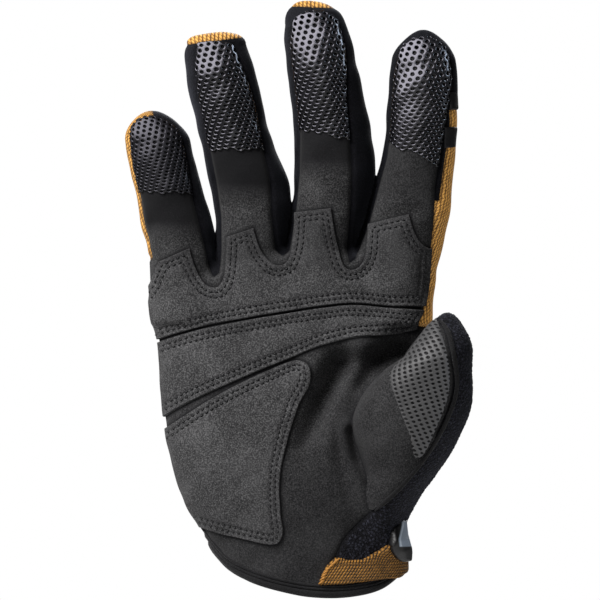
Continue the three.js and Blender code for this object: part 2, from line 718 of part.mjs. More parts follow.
function addPanels() {
  const tips = [tipCap(RING_TIP_LINE, RING), tipCap(MIDDLE_TIP_LINE, MIDDLE)];
  const thumbFront = thumbFrontRegion();
  const thumbBack = thumbBackRegion();
  const palm = palmRegion(tips);
  const littleRing = fourchetteRegion(LITTLE, RING, WEBS[1]);
  const ringMiddle = fourchetteRegion(RING, MIDDLE, WEBS[2]);
  const middleIndex = fourchetteRegion(MIDDLE, INDEX, WEBS[3]);
  const indexWall = indexWallRegion();
  const thumb = [thumbFront, thumbBack];
  const take = (one, earlier) => skin.intersect(
    [...earlier, ...tips].reduce((solid, other) => solid.subtract(other.kerf), one.own),
  );
  addPiece("thumb_front", skin.intersect(thumbFront.own), "suede");
  addPiece("thumb_back", take(thumbBack, [thumbFront]), "terry");
  addPiece("palm_panel", take(palm, thumb), "suede");
  addPiece("fourchette_little_ring", take(littleRing, [palm]), "spandex");
  addPiece("fourchette_ring_middle", take(ringMiddle, [palm, littleRing]), "spandex");
  addPiece("fourchette_middle_index", take(middleIndex, [palm, ringMiddle]), "spandex");
  addPiece("index_side_wall", take(indexWall, [palm, middleIndex]), "spandex");
  const kerfs = [thumbFront, thumbBack, palm, littleRing, ringMiddle, middleIndex, indexWall];
  const rest = kerfs.reduce((solid, one) => solid.subtract(without(one, tips).kerf), skin);
  addPiece("back_panel", rest, "woven");
}

function addOverlays() {
  const band = [...smooth(BAND_UPPER_EDGE, PAD_PARTS), ...smooth(BAND_LOWER_EDGE, PAD_PARTS)];
  addPiece("knuckle_pad", padSolid(knucklePadOutline(), PAD_THICKNESS), "suede");
  addPiece("palm_band", padSolid(band, PAD_THICKNESS), "suede");
  addPiece("heel_pad", padSolid(HEEL_PAD_OUTLINE, HEEL_PAD_THICKNESS), "suede");
  for (const finger of FINGERS) {
    addPiece(`grip_${finger.name}`, gripSolid(finger), "rubber");
  }
  addPiece("grip_thumb", thumbGripSolid(), "rubber");
  for (const bar of INDEX_BARS) {
    addPiece(bar.name, barSolid(bar), "rubber");
  }
}

function addWrist() {
  const strapCut = wrapCut(STRAP_OUTLINE, STRAP_BACK_OUTLINE);
  const tabCut = wrapCut(TAB_OUTLINE, TAB_BACK_OUTLINE);
  const strapLift = GAP;
  const tabLift = strapLift + STRAP_THICKNESS + GAP;
  const strap = overlay(strapCut, strapLift, STRAP_THICKNESS).subtract(bindingSolid(GAP));
  addPiece("cuff_binding", bindingSolid(0), "binding");
  addPiece("wrist_strap", strap, "woven");
  addPiece("closure_tab", overlay(tabCut, tabLift, TAB_THICKNESS), "rubber");
}

addPanels();
addOverlays();
addWrist();

export default glove;
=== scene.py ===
import math

import bpy
import numpy as np
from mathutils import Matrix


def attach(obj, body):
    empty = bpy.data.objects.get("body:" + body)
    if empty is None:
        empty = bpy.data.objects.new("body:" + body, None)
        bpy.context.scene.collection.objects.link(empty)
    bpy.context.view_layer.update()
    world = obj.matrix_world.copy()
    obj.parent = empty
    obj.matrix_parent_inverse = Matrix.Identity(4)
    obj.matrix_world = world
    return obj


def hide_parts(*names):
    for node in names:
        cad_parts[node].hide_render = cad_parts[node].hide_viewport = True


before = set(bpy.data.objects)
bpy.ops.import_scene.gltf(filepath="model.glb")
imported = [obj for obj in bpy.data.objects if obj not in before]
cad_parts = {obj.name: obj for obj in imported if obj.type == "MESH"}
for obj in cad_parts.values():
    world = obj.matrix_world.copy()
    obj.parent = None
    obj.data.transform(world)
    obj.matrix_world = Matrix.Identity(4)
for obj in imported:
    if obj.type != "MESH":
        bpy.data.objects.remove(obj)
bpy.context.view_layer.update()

import openvdb
from mathutils import Vector, noise

# Camera
# A long lens looks level at the palm from in front, so the glove shows as the photograph has it:
# 600 px across are 225 mm, and the picture's middle is 300 px from its left and upper edges.
MM = 0.001
PIXEL = 0.375
PICTURE = 600
ORIGIN_PIXEL = (315, 597)
CAMERA_DISTANCE = 7000
SENSOR = 36


def photo_x(pixel):
    return (pixel - ORIGIN_PIXEL[0]) * PIXEL


def photo_z(pixel):
    return (ORIGIN_PIXEL[1] - pixel) * PIXEL


camera_data = bpy.data.cameras.new("camera")
camera_data.sensor_width = SENSOR
camera_data.lens = SENSOR * CAMERA_DISTANCE / (PICTURE * PIXEL)
camera_data.clip_end = 20
camera = bpy.data.objects.new("camera", camera_data)
camera.location = (photo_x(PICTURE / 2) * MM, -CAMERA_DISTANCE * MM, photo_z(PICTURE / 2) * MM)
camera.rotation_euler = (math.pi / 2, 0, 0)
bpy.context.scene.collection.objects.link(camera)
bpy.context.scene.camera = camera

# Studio
# Eight soft lights, most of them flagged to one kind of cloth or rubber, because suede, spandex
# and glossy rubber each want their own. The surroundings are white to the camera and dim to
# the glove, and the pale floor lies below the hanging cuff.
bpy.context.scene.view_settings.view_transform = "Standard"

STUDIO_LIGHTS = [
    # name, place (m), width and height (m), power (W), colour, the pieces it is flagged to, if any
    ("key_softbox", (-1.05, -0.95, 1.4), (1.2, 1.2), 62, (1.0, 0.985, 0.98), "cloth"),
    ("cool_edge_light", (1.2, -0.08, 0.85), (0.6, 0.6), 9, (0.68, 0.8, 1.0), "rubber_edges"),
    ("thumb_edge_light", (1.15, -0.2, 0.35), (0.3, 0.4), 5, (0.8, 0.86, 1.0), "thumb_rubber"),
    ("front_fill", (-0.5, -2.2, 0.6), (1.6, 1.6), 2, (1.0, 1.0, 1.0), None),
    ("back_fill", (0.3, 1.4, 0.9), (1.2, 1.2), 26, (1.0, 1.0, 1.0), "cloth"),
    ("rubber_reflector", (-1.1, -0.72, 1.5), (3.9, 2.5), 150, (0.9, 0.87, 1.0), "rubber"),
    ("left_fill", (-1.6, -0.3, 0.6), (0.8, 0.8), 45, (0.97, 0.98, 1.0), "spandex"),
    ("side_fill", (1.6, -0.8, 0.5), (0.8, 0.8), 8, (1.0, 0.97, 0.9), "side_cloth"),
]
LIGHT_AIM = Vector((0.0, 0.0, 0.12))
SURROUNDINGS = 0.06
FLOOR_RADIUS = 0.5
FLOOR_DROP = 0.12

LIT_LABELS = ("rubber", "rubber_edges", "thumb_rubber", "side_cloth", "spandex", "cloth")
lit_pieces = {label: bpy.data.collections.new(label) for label in LIT_LABELS}


def lit_by_reflector(piece):
    """Glossy rubber takes the broad reflector instead of the key light."""
    for label in ("rubber", "rubber_edges", "cloth"):
        lit_pieces[label].objects.link(piece)
    lit_pieces["cloth"].collection_objects[-1].light_linking.link_state = "EXCLUDE"


for name, place, size, power, colour, flagged_to in STUDIO_LIGHTS:
    data = bpy.data.lights.new(name, "AREA")
    data.shape = "ELLIPSE"
    data.size, data.size_y = size
    data.energy = power
    data.color = colour
    light = bpy.data.objects.new(name, data)
    light.location = place
    light.rotation_mode = "QUATERNION"
    light.rotation_quaternion = (LIGHT_AIM - Vector(place)).to_track_quat("-Z", "Y")
    light.visible_camera = False
    if flagged_to:
        light.light_linking.receiver_collection = lit_pieces[flagged_to]
    bpy.context.scene.collection.objects.link(light)

world = bpy.data.worlds.new("studio")
world.use_nodes = True
bpy.context.scene.world = world
world_nodes, world_links = world.node_tree.nodes, world.node_tree.links
seen_by = world_nodes.new("ShaderNodeLightPath")
brightness = world_nodes.new("ShaderNodeMapRange")
brightness.inputs["To Min"].default_value = SURROUNDINGS
brightness.inputs["To Max"].default_value = 1.0
world_links.new(seen_by.outputs["Is Camera Ray"], brightness.inputs["Value"])
world_links.new(brightness.outputs["Result"], world_nodes["Background"].inputs["Strength"])
world_nodes["Background"].inputs["Color"].default_value = (1, 1, 1, 1)

bpy.ops.mesh.primitive_circle_add(
    vertices=96, radius=FLOOR_RADIUS, fill_type="NGON", location=(0, 0, -FLOOR_DROP)
)
floor = bpy.context.object
floor.name = "floor"
floor_paint = bpy.data.materials.new("pale_floor")
floor_paint.use_nodes = True
floor_paint.node_tree.nodes["Principled BSDF"].inputs["Base Color"].default_value = (0.6, 0.6, 0.6, 1)
floor_paint.node_tree.nodes["Principled BSDF"].inputs["Roughness"].default_value = 0.9
floor.data.materials.append(floor_paint)

# Form of the filled glove
# The cloth takes the shape of the hand inside it: the palm is a flat tube, the thumb and the
# fingers are round ones, and they run together at the webs. All of it is in millimetres, with
# the fingers still straight, and is bent towards the palm when a mesh is made. Folds are
# pressed into the palm alone.
CURL_START = 112
CURL_END = 223
CURL = 7
KNUCKLE_ARC_RISE = 5
KNUCKLE_ARC_MIDDLE = 5
KNUCKLE_ARC_DROP = 0.0035
KNUCKLE_ARC_FROM = 90
KNUCKLE_ARC_TO = 125
HAND_ROUNDNESS = 2.5
FINGER_ROUNDNESS = 2.08
WEB_BLEND = 3.0
FINGER_BLEND = 1.2
THUMB_BLEND = 1.2
THUMB_ROOT_BLEND = 8.0
THUMB_ROOT = (58, 14)  # height where the thumb's root starts, and the way down to its full blend
FORM_STEP = 0.8


def columns(names, rows):
    """A short table, as one array for each named column."""
    return {name: np.array(values, float) for name, values in zip(names, zip(*rows))}


def along(rows, name, height):
    """One column of a table at some heights, on a smooth curve through its rows."""
    heights, values = rows["height"], rows[name]
    last = len(heights) - 1
    clipped = np.clip(height, heights[0], heights[-1])
    high = np.clip(np.searchsorted(heights, clipped, side="right"), 1, last)
    low = high - 1
    before, after = np.maximum(low - 1, 0), np.minimum(high + 1, last)
    span = heights[high] - heights[low]
    part = (clipped - heights[low]) / span
    slope_low = (values[high] - values[before]) / (heights[high] - heights[before]) * span
    slope_high = (values[after] - values[low]) / (heights[after] - heights[low]) * span
    square, cube = part**2, part**3
    return (
        (2 * cube - 3 * square + 1) * values[low]
        + (cube - 2 * square + part) * slope_low
        + (3 * square - 2 * cube) * values[high]
        + (cube - square) * slope_high
    )


SECTION = ("height", "left", "right", "front", "back")
FINGER_SECTION = SECTION + ("left_seam", "right_seam")
HAND = {
    "roundness": HAND_ROUNDNESS,
    "tip": (126, -8, 2.4),  # height, centre, squareness
    "rows": columns(SECTION, [
        (-10, -35.0, 31.6, -22.0, 22.5),
        (10, -35.6, 32.5, -22.8, 23.0),
        (20, -39.1, 32.4, -23.6, 23.0),
        (28, -43.1, 32.6, -24.4, 22.6),
        (36, -47.8, 36.4, -25.2, 21.6),
        (46, -51.3, 39.8, -25.4, 20.4),
        (58, -54.4, 41.8, -24.2, 19.2),
        (72, -56.4, 43.0, -21.6, 18.0),
        (88, -57.3, 43.2, -18.8, 17.0),
        (100, -58.6, 43.4, -17.4, 16.2),
        (110, -60.9, 43.6, -16.6, 15.6),
        (119, -60.8, 44.2, -15.4, 14.6),
    ]),
}
LITTLE = {
    "roundness": FINGER_ROUNDNESS,
    "tip": (182.3, -61.1, 1.7),
    "front_lean": 0.12,  # how fast the tip's palm side falls back
    "leather_top": (180.8, -61.5),  # height, centre
    "grip_foot": (151.2, 150.4),  # left and right height
    "rows": columns(FINGER_SECTION, [
        (104, -59.4, -37.5, -13.5, 12.5, 0.6, 1.5),
        (118, -61.6, -36.8, -13.5, 12.4, 0.6, 1.5),
        (128, -62.0, -37.0, -13.0, 12.0, 0.6, 3.0),
        (138, -64.6, -38.0, -12.4, 11.8, 0.6, 4.4),
        (146, -66.1, -40.2, -11.9, 11.5, 0.8, 4.4),
        (154, -67.6, -42.7, -12.2, 11.2, 1.0, 3.6),
        (162, -69.6, -44.9, -11.4, 10.8, 1.2, 2.7),
        (171, -70.8, -47.2, -9.8, 10.0, 1.4, 2.4),
    ]),
}
RING = {
    "roundness": FINGER_ROUNDNESS,
    "tip": (211.5, -37.3, 2.9),
    "front_lean": 0.3,
    "top_tilt": 0.04,  # how fast the tip rises to the right
    "leather_top": (208.6, -38.5),
    "grip_foot": (167.0, 166.6),
    "rows": columns(FINGER_SECTION, [
        (104, -38.5, -10.5, -15.0, 13.5, 1.2, 1.5),
        (120, -37.5, -10.8, -14.6, 13.2, 1.2, 1.5),
        (132, -37.2, -10.2, -14.0, 12.8, 1.6, 4.4),
        (142, -37.1, -9.0, -13.6, 12.5, 1.4, 7.0),
        (152, -38.7, -9.2, -13.0, 12.2, 1.7, 7.0),
        (160, -40.3, -11.5, -12.6, 12.0, 2.1, 5.4),
        (170, -42.5, -15.8, -12.6, 11.6, 2.1, 3.7),
        (182, -45.5, -19.3, -12.2, 11.0, 2.8, 2.5),
        (194, -47.9, -21.9, -11.0, 10.2, 3.0, 3.2),
        (203, -48.5, -24.5, -8.6, 9.2, 3.4, 4.6),
        (207, -48.2, -25.9, -7.2, 8.6, 3.6, 4.6),
    ]),
}
MIDDLE = {
    "roundness": FINGER_ROUNDNESS,
    "tip": (223.6, -1.7, 2.2),
    "front_lean": 0.45,
    "top_tilt": -0.03,
    "leather_top": (220.2, 0.5),
    "grip_foot": (174.8, 170.3),
    "rows": columns(FINGER_SECTION, [
        (104, -13.0, 15.0, -15.4, 14.0, 1.2, 1.5),
        (120, -12.5, 14.6, -15.0, 13.6, 1.2, 1.5),
        (132, -11.2, 16.0, -14.5, 13.2, 1.4, 3.6),
        (144, -9.0, 19.5, -14.0, 13.0, 1.2, 6.0),
        (154, -7.8, 22.0, -13.5, 12.6, 1.2, 8.1),
        (164, -7.5, 22.4, -12.8, 12.2, 1.2, 8.6),
        (174, -7.7, 21.0, -13.0, 11.8, 1.5, 7.8),
        (186, -8.9, 18.4, -12.6, 11.2, 1.7, 6.4),
        (198, -10.3, 15.8, -11.4, 10.4, 1.7, 3.8),
        (208, -11.2, 13.6, -8.4, 9.6, 1.7, 2.4),
        (214, -11.0, 11.9, -5.9, 8.7, 2.0, 2.6),
    ]),
}
INDEX = {
    "roundness": FINGER_ROUNDNESS,
    "tip": (212.9, 40.4, 1.55),
    "front_lean": 0.33,
    "leather_top": (210.6, 40.7),
    "grip_foot": (170.6, 159.4),
    "rows": columns(FINGER_SECTION, [
        (104, 13.0, 42.8, -15.0, 13.5, 1.5, 2.0),
        (118, 13.0, 44.2, -14.8, 13.4, 1.5, 2.0),
        (128, 14.0, 47.0, -14.5, 13.2, 1.2, 3.4),
        (140, 18.4, 49.5, -14.0, 13.0, 1.2, 4.8),
        (150, 21.0, 51.1, -13.4, 12.7, 1.2, 6.1),
        (160, 23.9, 51.8, -13.0, 12.3, 1.2, 5.6),
        (170, 26.2, 52.7, -12.8, 11.9, 1.2, 5.0),
        (182, 27.2, 53.2, -11.8, 11.2, 1.2, 3.6),
        (194, 27.9, 53.3, -9.3, 10.3, 1.2, 1.9),
        (201, 29.0, 52.5, -7.1, 9.6, 1.3, 1.9),
    ]),
}
THUMB = {
    "roundness": FINGER_ROUNDNESS,
    "tip": (106.6, 48.8, 1.4),
    "top_tilt": 0.2,
    "rows": columns(SECTION, [
        (14, 19.0, 28.0, -8.0, 6.0),
        (20, 20.0, 29.0, -16.0, 8.0),
        (28, 20.0, 31.3, -22.0, 9.0),
        (34, 18.6, 34.2, -25.5, 10.2),
        (38, 17.4, 37.6, -27.5, 11.0),
        (46, 17.0, 45.0, -30.5, 11.0),
        (54, 14.6, 50.6, -33.5, 8.5),
        (62, 13.7, 54.9, -36.5, 4.0),
        (70, 14.9, 57.7, -39.0, -2.0),
        (80, 21.2, 58.8, -41.0, -8.5),
        (85, 26.2, 58.7, -41.8, -11.5),
        (90, 31.8, 58.6, -42.4, -14.5),
    ]),
}
FINGERS = {"little": LITTLE, "ring": RING, "middle": MIDDLE, "index": INDEX}

# Folds pressed into the palm side: three points seen from in front, then width and depth
FOLDS = columns(("x0", "z0", "x1", "z1", "x2", "z2", "width", "depth"), [
    (9.8, 87.5, 4.4, 77.0, -4.0, 57.0, 4.3, 8.6),
    (31.0, 92.5, 21.0, 85.4, 10.4, 69.0, 4.2, 6.8),
    (40.0, 91.5, 26.0, 91.5, 14.0, 89.5, 3.4, 2.2),
    (-2.0, 82.0, -4.0, 74.0, 0.0, 62.0, 13.0, 0.8),
    (13.8, 62.0, 16.2, 52.0, 21.6, 41.0, 1.6, 3.6),
    (8.0, 60.0, 9.5, 50.0, 13.0, 38.0, 2.4, 1.2),
    (-60.0, 140.5, -53.0, 139.3, -46.0, 138.6, 2.6, 0.7),
    (-36.0, 156.0, -26.0, 154.2, -17.0, 153.6, 3.0, 0.8),
    (-34.0, 146.0, -26.0, 144.6, -20.0, 145.4, 2.2, 0.4),
    (-6.0, 166.0, 3.0, 163.6, 11.0, 163.0, 3.0, 0.8),
    (-3.0, 155.0, 4.0, 153.6, 10.0, 154.0, 2.4, 0.4),
    (27.0, 142.0, 36.0, 144.5, 46.0, 146.5, 2.4, 0.9),
    (27.0, 151.0, 36.0, 150.0, 44.0, 151.0, 2.6, 0.4),
])
FOLD_END = 0.75  # how much shallower a fold is at its last point
FOLD_SHOULDER = 0.18  # height of the swelling beside a fold, for a depth of 1
FOLD_SHOULDER_PLACE = 2.2  # its distance, in widths of the fold
FOLD_FADE = (-1.0, -9.0)  # depth where a fold starts and where it has its full depth

# Slow unevenness of the cloth, as waves: their numbers along x, y and z, phase and height
WAVES = columns(("x", "y", "z", "phase", "height"), [
    (0.31, 0.12, 0.19, 0.4, 0.10),
    (-0.22, 0.17, 0.36, 2.1, 0.11),
    (0.13, -0.29, -0.43, 4.0, 0.08),
    (0.52, 0.21, 0.31, 1.2, 0.06),
    (-0.41, 0.33, 0.58, 5.1, 0.05),
])


def knuckle_rise(x, z):
    part = np.clip((z - KNUCKLE_ARC_FROM) / (KNUCKLE_ARC_TO - KNUCKLE_ARC_FROM), 0, 1)
    rise = part * part * (3 - 2 * part)
    return rise * (KNUCKLE_ARC_RISE - KNUCKLE_ARC_DROP * (x - KNUCKLE_ARC_MIDDLE) ** 2)


def tube_reach(tube, x, y, z):
    """How far points lie outside a tube, in millimetres, and negative inside it."""
    rows, power = tube["rows"], tube["roundness"]
    tip_height, tip_centre, squareness = tube["tip"]
    foot, shoulder = rows["height"][0], rows["height"][-1]
    left, right, front, back = (along(rows, name, z) for name in SECTION[1:])
    front = front + tube.get("front_lean", 0) * np.clip(z - shoulder, 0, tip_height - shoulder)
    tilted = z - tube.get("top_tilt", 0) * (x - tip_centre)
    part = np.maximum(tilted - shoulder, 0) / (tip_height - shoulder)
    middle = (left + right) / 2
    middle = middle + (tip_centre - middle) * np.minimum(part, 1)
    half_width, half_depth = (right - left) / 2, (back - front) / 2
    across = np.abs(x - middle) / half_width
    deep = np.abs(y - (front + back) / 2) / half_depth
    section = (across**power + deep**power) ** (1 / power) + 1e-6
    radius = (section**squareness + part**squareness) ** (1 / squareness)
    lean = (section / radius) ** (squareness - 1)
    slope_x = lean * (across / section) ** (power - 1) / half_width
    slope_y = lean * (deep / section) ** (power - 1) / half_depth
    slope_z = (part / radius) ** (squareness - 1) / (tip_height - shoulder)
    reach = (radius - 1) / np.sqrt(slope_x**2 + slope_y**2 + slope_z**2 + 1e-9)
    return np.maximum(reach, foot - z)


def blended(one, other, width):
    """The nearer of two surfaces, with a fillet where they meet."""
    overlap = np.maximum(width - np.abs(one - other), 0) / width
    return np.minimum(one, other) - overlap**2 * width / 4


def line_distance(x, z, start, end):
    (x0, z0), (x1, z1) = start, end
    length = (x1 - x0) ** 2 + (z1 - z0) ** 2
    part = np.clip(((x - x0) * (x1 - x0) + (z - z0) * (z1 - z0)) / length, 0, 1)
    return np.hypot(x - x0 - part * (x1 - x0), z - z0 - part * (z1 - z0))


def fold_depth(x, z):
    depth = 0
    for x0, z0, x1, z1, x2, z2, width, deep in zip(*FOLDS.values()):
        distance = np.minimum(
            line_distance(x, z, (x0, z0), (x1, z1)), line_distance(x, z, (x1, z1), (x2, z2))
        )
        length = (x2 - x0) ** 2 + (z2 - z0) ** 2
        passed = np.clip(((x - x0) * (x2 - x0) + (z - z0) * (z2 - z0)) / length, 0, 1)
        deep = deep * (1 - FOLD_END * passed**2)
        valley = np.exp(-((distance / width) ** 2))
        shoulder = np.exp(-(((distance - FOLD_SHOULDER_PLACE * width) / width) ** 2))
        depth = depth + deep * (valley - FOLD_SHOULDER * shoulder)
    return depth


def palm_reach(x, y, z):
    raised = z - knuckle_rise(x, z)
    hand = tube_reach(HAND, x, y, z - knuckle_rise(x, raised))
    fingers = tube_reach(LITTLE, x, y, z)
    for finger in (RING, MIDDLE, INDEX):
        fingers = blended(fingers, tube_reach(finger, x, y, z), FINGER_BLEND)
    return blended(hand, fingers, WEB_BLEND)


def form_reach(x, y, z):
    """How far points lie outside the glove's plain surface, in millimetres."""
    start, full = FOLD_FADE
    folds = fold_depth(x, z) * np.clip((start - y) / (start - full), 0, 1)
    root_top, root_way = THUMB_ROOT
    thumb_blend = THUMB_BLEND + THUMB_ROOT_BLEND * np.clip((root_top - z) / root_way, 0, 1)
    reach = blended(palm_reach(x, y, z) + folds, tube_reach(THUMB, x, y, z), thumb_blend)
    for wave_x, wave_y, wave_z, phase, height in zip(*WAVES.values()):
        reach = reach + height * np.sin(wave_x * x + wave_y * y + wave_z * z + phase)
    return reach


def slopes(points, step=0.05):
    """Reach of each point and the direction in which it grows."""
    x, y, z = points.T
    reach = form_reach(x, y, z)
    rise = np.stack([
        form_reach(x + step, y, z) - form_reach(x - step, y, z),
        form_reach(x, y + step, z) - form_reach(x, y - step, z),
        form_reach(x, y, z + step) - form_reach(x, y, z - step),
    ], axis=1) / (2 * step)
    return reach, rise


def settled(points, rounds=2):
    """Points brought onto the form's surface, and the direction outwards at each."""
    for _ in range(rounds):
        reach, rise = slopes(points)
        step = np.clip(reach / np.maximum((rise**2).sum(1), 0.2), -1.5, 1.5)
        points = points - step[:, None] * rise
    _, rise = slopes(points)
    return points, rise / np.maximum(np.linalg.norm(rise, axis=1, keepdims=True), 1e-6)


def form_mesh():
    """The whole surface as small triangles."""
    low, high = np.array([-76.0, -48.0, -6.0]), np.array([64.0, 28.0, 228.0])
    x, y, z = (np.arange(a, b, FORM_STEP) for a, b in zip(low, high))
    volume = form_reach(x[:, None, None], y[None, :, None], z[None, None, :])
    grid = openvdb.FloatGrid()
    grid.copyFromArray(np.clip(volume, -3, 3).astype(np.float32))
    points, quads = grid.convertToQuads(isovalue=0.0)
    points, _ = settled(points.astype(float) * FORM_STEP + low)
    quads = quads.astype(int)
    faces = np.concatenate([quads[:, [0, 1, 2]], quads[:, [0, 2, 3]]])
    a, b, c = (points[faces[:, corner]] for corner in range(3))
    if (a * np.cross(b, c)).sum() < 0:
        faces = faces[:, ::-1]
    return points, faces


form_points, form_faces = form_mesh()

# Suede palm and thumb
# The palm is one piece of charcoal synthetic suede that runs up the front of the four fingers,
# and a second piece covers the front of the thumb down to the crease. Both are sewn inside out
# to their neighbours, so each edge turns down into a pinched seam with no thread to be seen.
SNAP = 0.06
FAR = 90
EDGE_TURN = 1.3
CRISP = 45  # edges that turn by more than this many degrees stay sharp
SEAM_WIDTH = 0.9
SEAM_DEPTH = 0.45
SEAM_PUFF = 0.25
TIP_REACH = 11
SEAM_PUFF_WIDTH = 2.6
PALM_SEAM_Y = 1
FINGER_FRONT_SEAM_Y = -4
LOBE_FOOT = 117
THUMB_FOOT = 33

RIM = [
    (-46, 27), (-36.6, 14.8), (-32.2, 10.2), (-23.2, 5.4), (-9, 1.5), (2, 0),
    (14, 0.4), (24, 2.7), (29, 5.8), (34.5, 11.5), (44, 24),
]
TERRY_SEAM = [
    (43.0, 112), (45.2, 105), (48.6, 99.5), (51.0, 89), (51.9, 80.5), (50.6, 73), (44.3, 59),
    (32.4, 43), (15.9, 27.5), (10.7, 21.5), (6.5, 12),
]
TAN_EDGE = [
    (55.0, 184.2), (51.3, 183.6), (51.0, 177), (49.2, 165), (47.3, 152), (45.1, 141.6), (43.6, 128),
    (42.4, 115), (41.0, 108), (38.2, 101.8),
]
WEB_POINT = 4.2
WEBS = [(-70, 128), (-37.9, 121.8), (-12.1, 129.8), (13.3, 126.9)]
THUMB_LEATHER_BACK = [
    (-FAR, -10), (-8, -10), (-8, 46), (-20, 80), (-31, 104), (-31, 2 * FAR), (-FAR, 2 * FAR),
]
BINDING_HEIGHT = 4.0


def smooth_line(knots, parts, closed=False):
    """Points of a smooth curve through a few given ones."""
    knots = np.array(knots, float)
    if closed:
        knots = np.vstack([knots[-1:], knots, knots[:2]])
    else:
        knots = np.vstack([2 * knots[0] - knots[1], knots, 2 * knots[-1] - knots[-2]])
    times = np.concatenate([[0], np.cumsum(np.linalg.norm(np.diff(knots, axis=0), axis=1) ** 0.5)])
    line = []
    for k in range(1, len(knots) - 2):
        t = np.linspace(times[k], times[k + 1], parts, endpoint=False)[:, None]
        t0, t1, t2, t3 = times[k - 1:k + 3]
        p0, p1, p2, p3 = knots[k - 1:k + 3]
        a1 = ((t1 - t) * p0 + (t - t0) * p1) / (t1 - t0)
        a2 = ((t2 - t) * p1 + (t - t1) * p2) / (t2 - t1)
        a3 = ((t3 - t) * p2 + (t - t2) * p3) / (t3 - t2)
        b1 = ((t2 - t) * a1 + (t - t0) * a2) / (t2 - t0)
        b2 = ((t3 - t) * a2 + (t - t1) * a3) / (t3 - t1)
        line.append(((t2 - t) * b1 + (t - t1) * b2) / (t2 - t1))
    if not closed:
        line.append(knots[-2:-1])
    return np.vstack(line)


def outline_reach(outline, x, z):
    """How far points lie outside a closed outline seen from in front, negative inside it."""
    nearest = np.full(np.shape(x), np.inf)
    inside = np.zeros(np.shape(x), bool)
    for (x0, z0), (x1, z1) in zip(outline, np.roll(outline, -1, axis=0)):
        if abs(x1 - x0) + abs(z1 - z0) < 1e-9:
            continue
        nearest = np.minimum(nearest, line_distance(x, z, (x0, z0), (x1, z1)))
        if z0 != z1:
            crossed = (z0 > z) != (z1 > z)
            inside ^= crossed & (x < (x1 - x0) * (z - z0) / (z1 - z0) + x0)
    return np.where(inside, -nearest, nearest)


def compacted(points, faces):
    used, renamed = np.unique(faces, return_inverse=True)
    return points[used], renamed.reshape(-1, 3)


def sliced(points, faces, level):
    """A triangle mesh with the line where the level is 0 drawn in, and its faces on each side."""
    level = np.where(np.abs(level) < SNAP, 0.0, level)
    side = np.sign(level)[faces]
    crossing = (side.min(1) < 0) & (side.max(1) > 0)
    below, above = [faces[~crossing & (side.max(1) <= 0)]], [faces[~crossing & (side.max(1) > 0)]]
    torn, side = faces[crossing], side[crossing]
    if len(torn):
        on_line = (side == 0).any(1)
        lone = np.where(
            on_line, (side == 0).argmax(1), (side == -np.sign(side.sum(1))[:, None]).argmax(1)
        )
        turn = (lone[:, None] + np.arange(3)) % 3
        torn = np.take_along_axis(torn, turn, 1)
        side = np.take_along_axis(side, turn, 1)
        ends = np.concatenate([torn[on_line][:, [1, 2]], torn[~on_line][:, [0, 1]],
                               torn[~on_line][:, [0, 2]]])
        edges, place = np.unique(np.sort(ends, axis=1), axis=0, return_inverse=True)
        place = place.reshape(-1) + len(points)
        passed = (level[edges[:, 0]] / (level[edges[:, 0]] - level[edges[:, 1]]))[:, None]
        points = np.vstack([
            points, points[edges[:, 0]] * (1 - passed) + points[edges[:, 1]] * passed
        ])
        count, pairs = int(on_line.sum()), int((~on_line).sum())
        middle = place[:count]
        a, b, c = torn[on_line].T
        pieces = [(np.stack([a, b, middle], 1), side[on_line][:, 1]),
                  (np.stack([a, middle, c], 1), side[on_line][:, 2])]
        near, far = place[count:count + pairs], place[count + pairs:]
        a, b, c = torn[~on_line].T
        pieces += [(np.stack([a, near, far], 1), side[~on_line][:, 0]),
                   (np.stack([near, b, c], 1), side[~on_line][:, 1]),
                   (np.stack([near, c, far], 1), side[~on_line][:, 1])]
        for triangles, sign in pieces:
            below.append(triangles[sign < 0])
            above.append(triangles[sign > 0])
    return points, np.vstack(below), np.vstack(above)


def cut(points, faces, level):
    """The two parts of a mesh, below and above the line where the level is 0."""
    points, below, above = sliced(points, faces, level)
    return compacted(points, below), compacted(points, above)


def refined(points, faces):
    """Each triangle split into four."""
    ends = np.sort(faces[:, [0, 1, 1, 2, 2, 0]].reshape(-1, 2), axis=1)
    edges, place = np.unique(ends, axis=0, return_inverse=True)
    ab, bc, ca = (place.reshape(-1, 3) + len(points)).T
    a, b, c = faces.T
    points = np.vstack([points, points[edges].mean(1)])
    return points, np.concatenate([
        np.stack([a, ab, ca], 1), np.stack([ab, b, bc], 1),
        np.stack([ca, bc, c], 1), np.stack([ab, bc, ca], 1),
    ])


def open_edges(faces):
    """The edges that only one triangle has, each in that triangle's direction."""
    ends = faces[:, [0, 1, 1, 2, 2, 0]].reshape(-1, 2)
    order = np.sort(ends, axis=1)
    _, first, uses = np.unique(order, axis=0, return_index=True, return_counts=True)
    return ends[first[uses == 1]]


def rim_height(x):
    line = smooth_line(RIM, 6)
    return np.interp(x, line[:, 0], line[:, 1])


def thumb_reach(points):
    x, y, z = points.T
    split = (tube_reach(THUMB, x, y, z) - palm_reach(x, y, z)) / 2
    return np.maximum(split, THUMB_FOOT - z)


def terry_outline():
    """The thumb's suede side of the seam to the terry, as a closed outline."""
    return np.vstack([smooth_line(TERRY_SEAM, 6), [(-FAR, 12), (-FAR, 112)]])


def thumb_front_reach(points):
    x, y, z = points.T
    seam = terry_outline()
    side = outline_reach(THUMB_LEATHER_BACK, y, z)
    return np.maximum(np.maximum(thumb_reach(points), outline_reach(seam, x, z)), side)


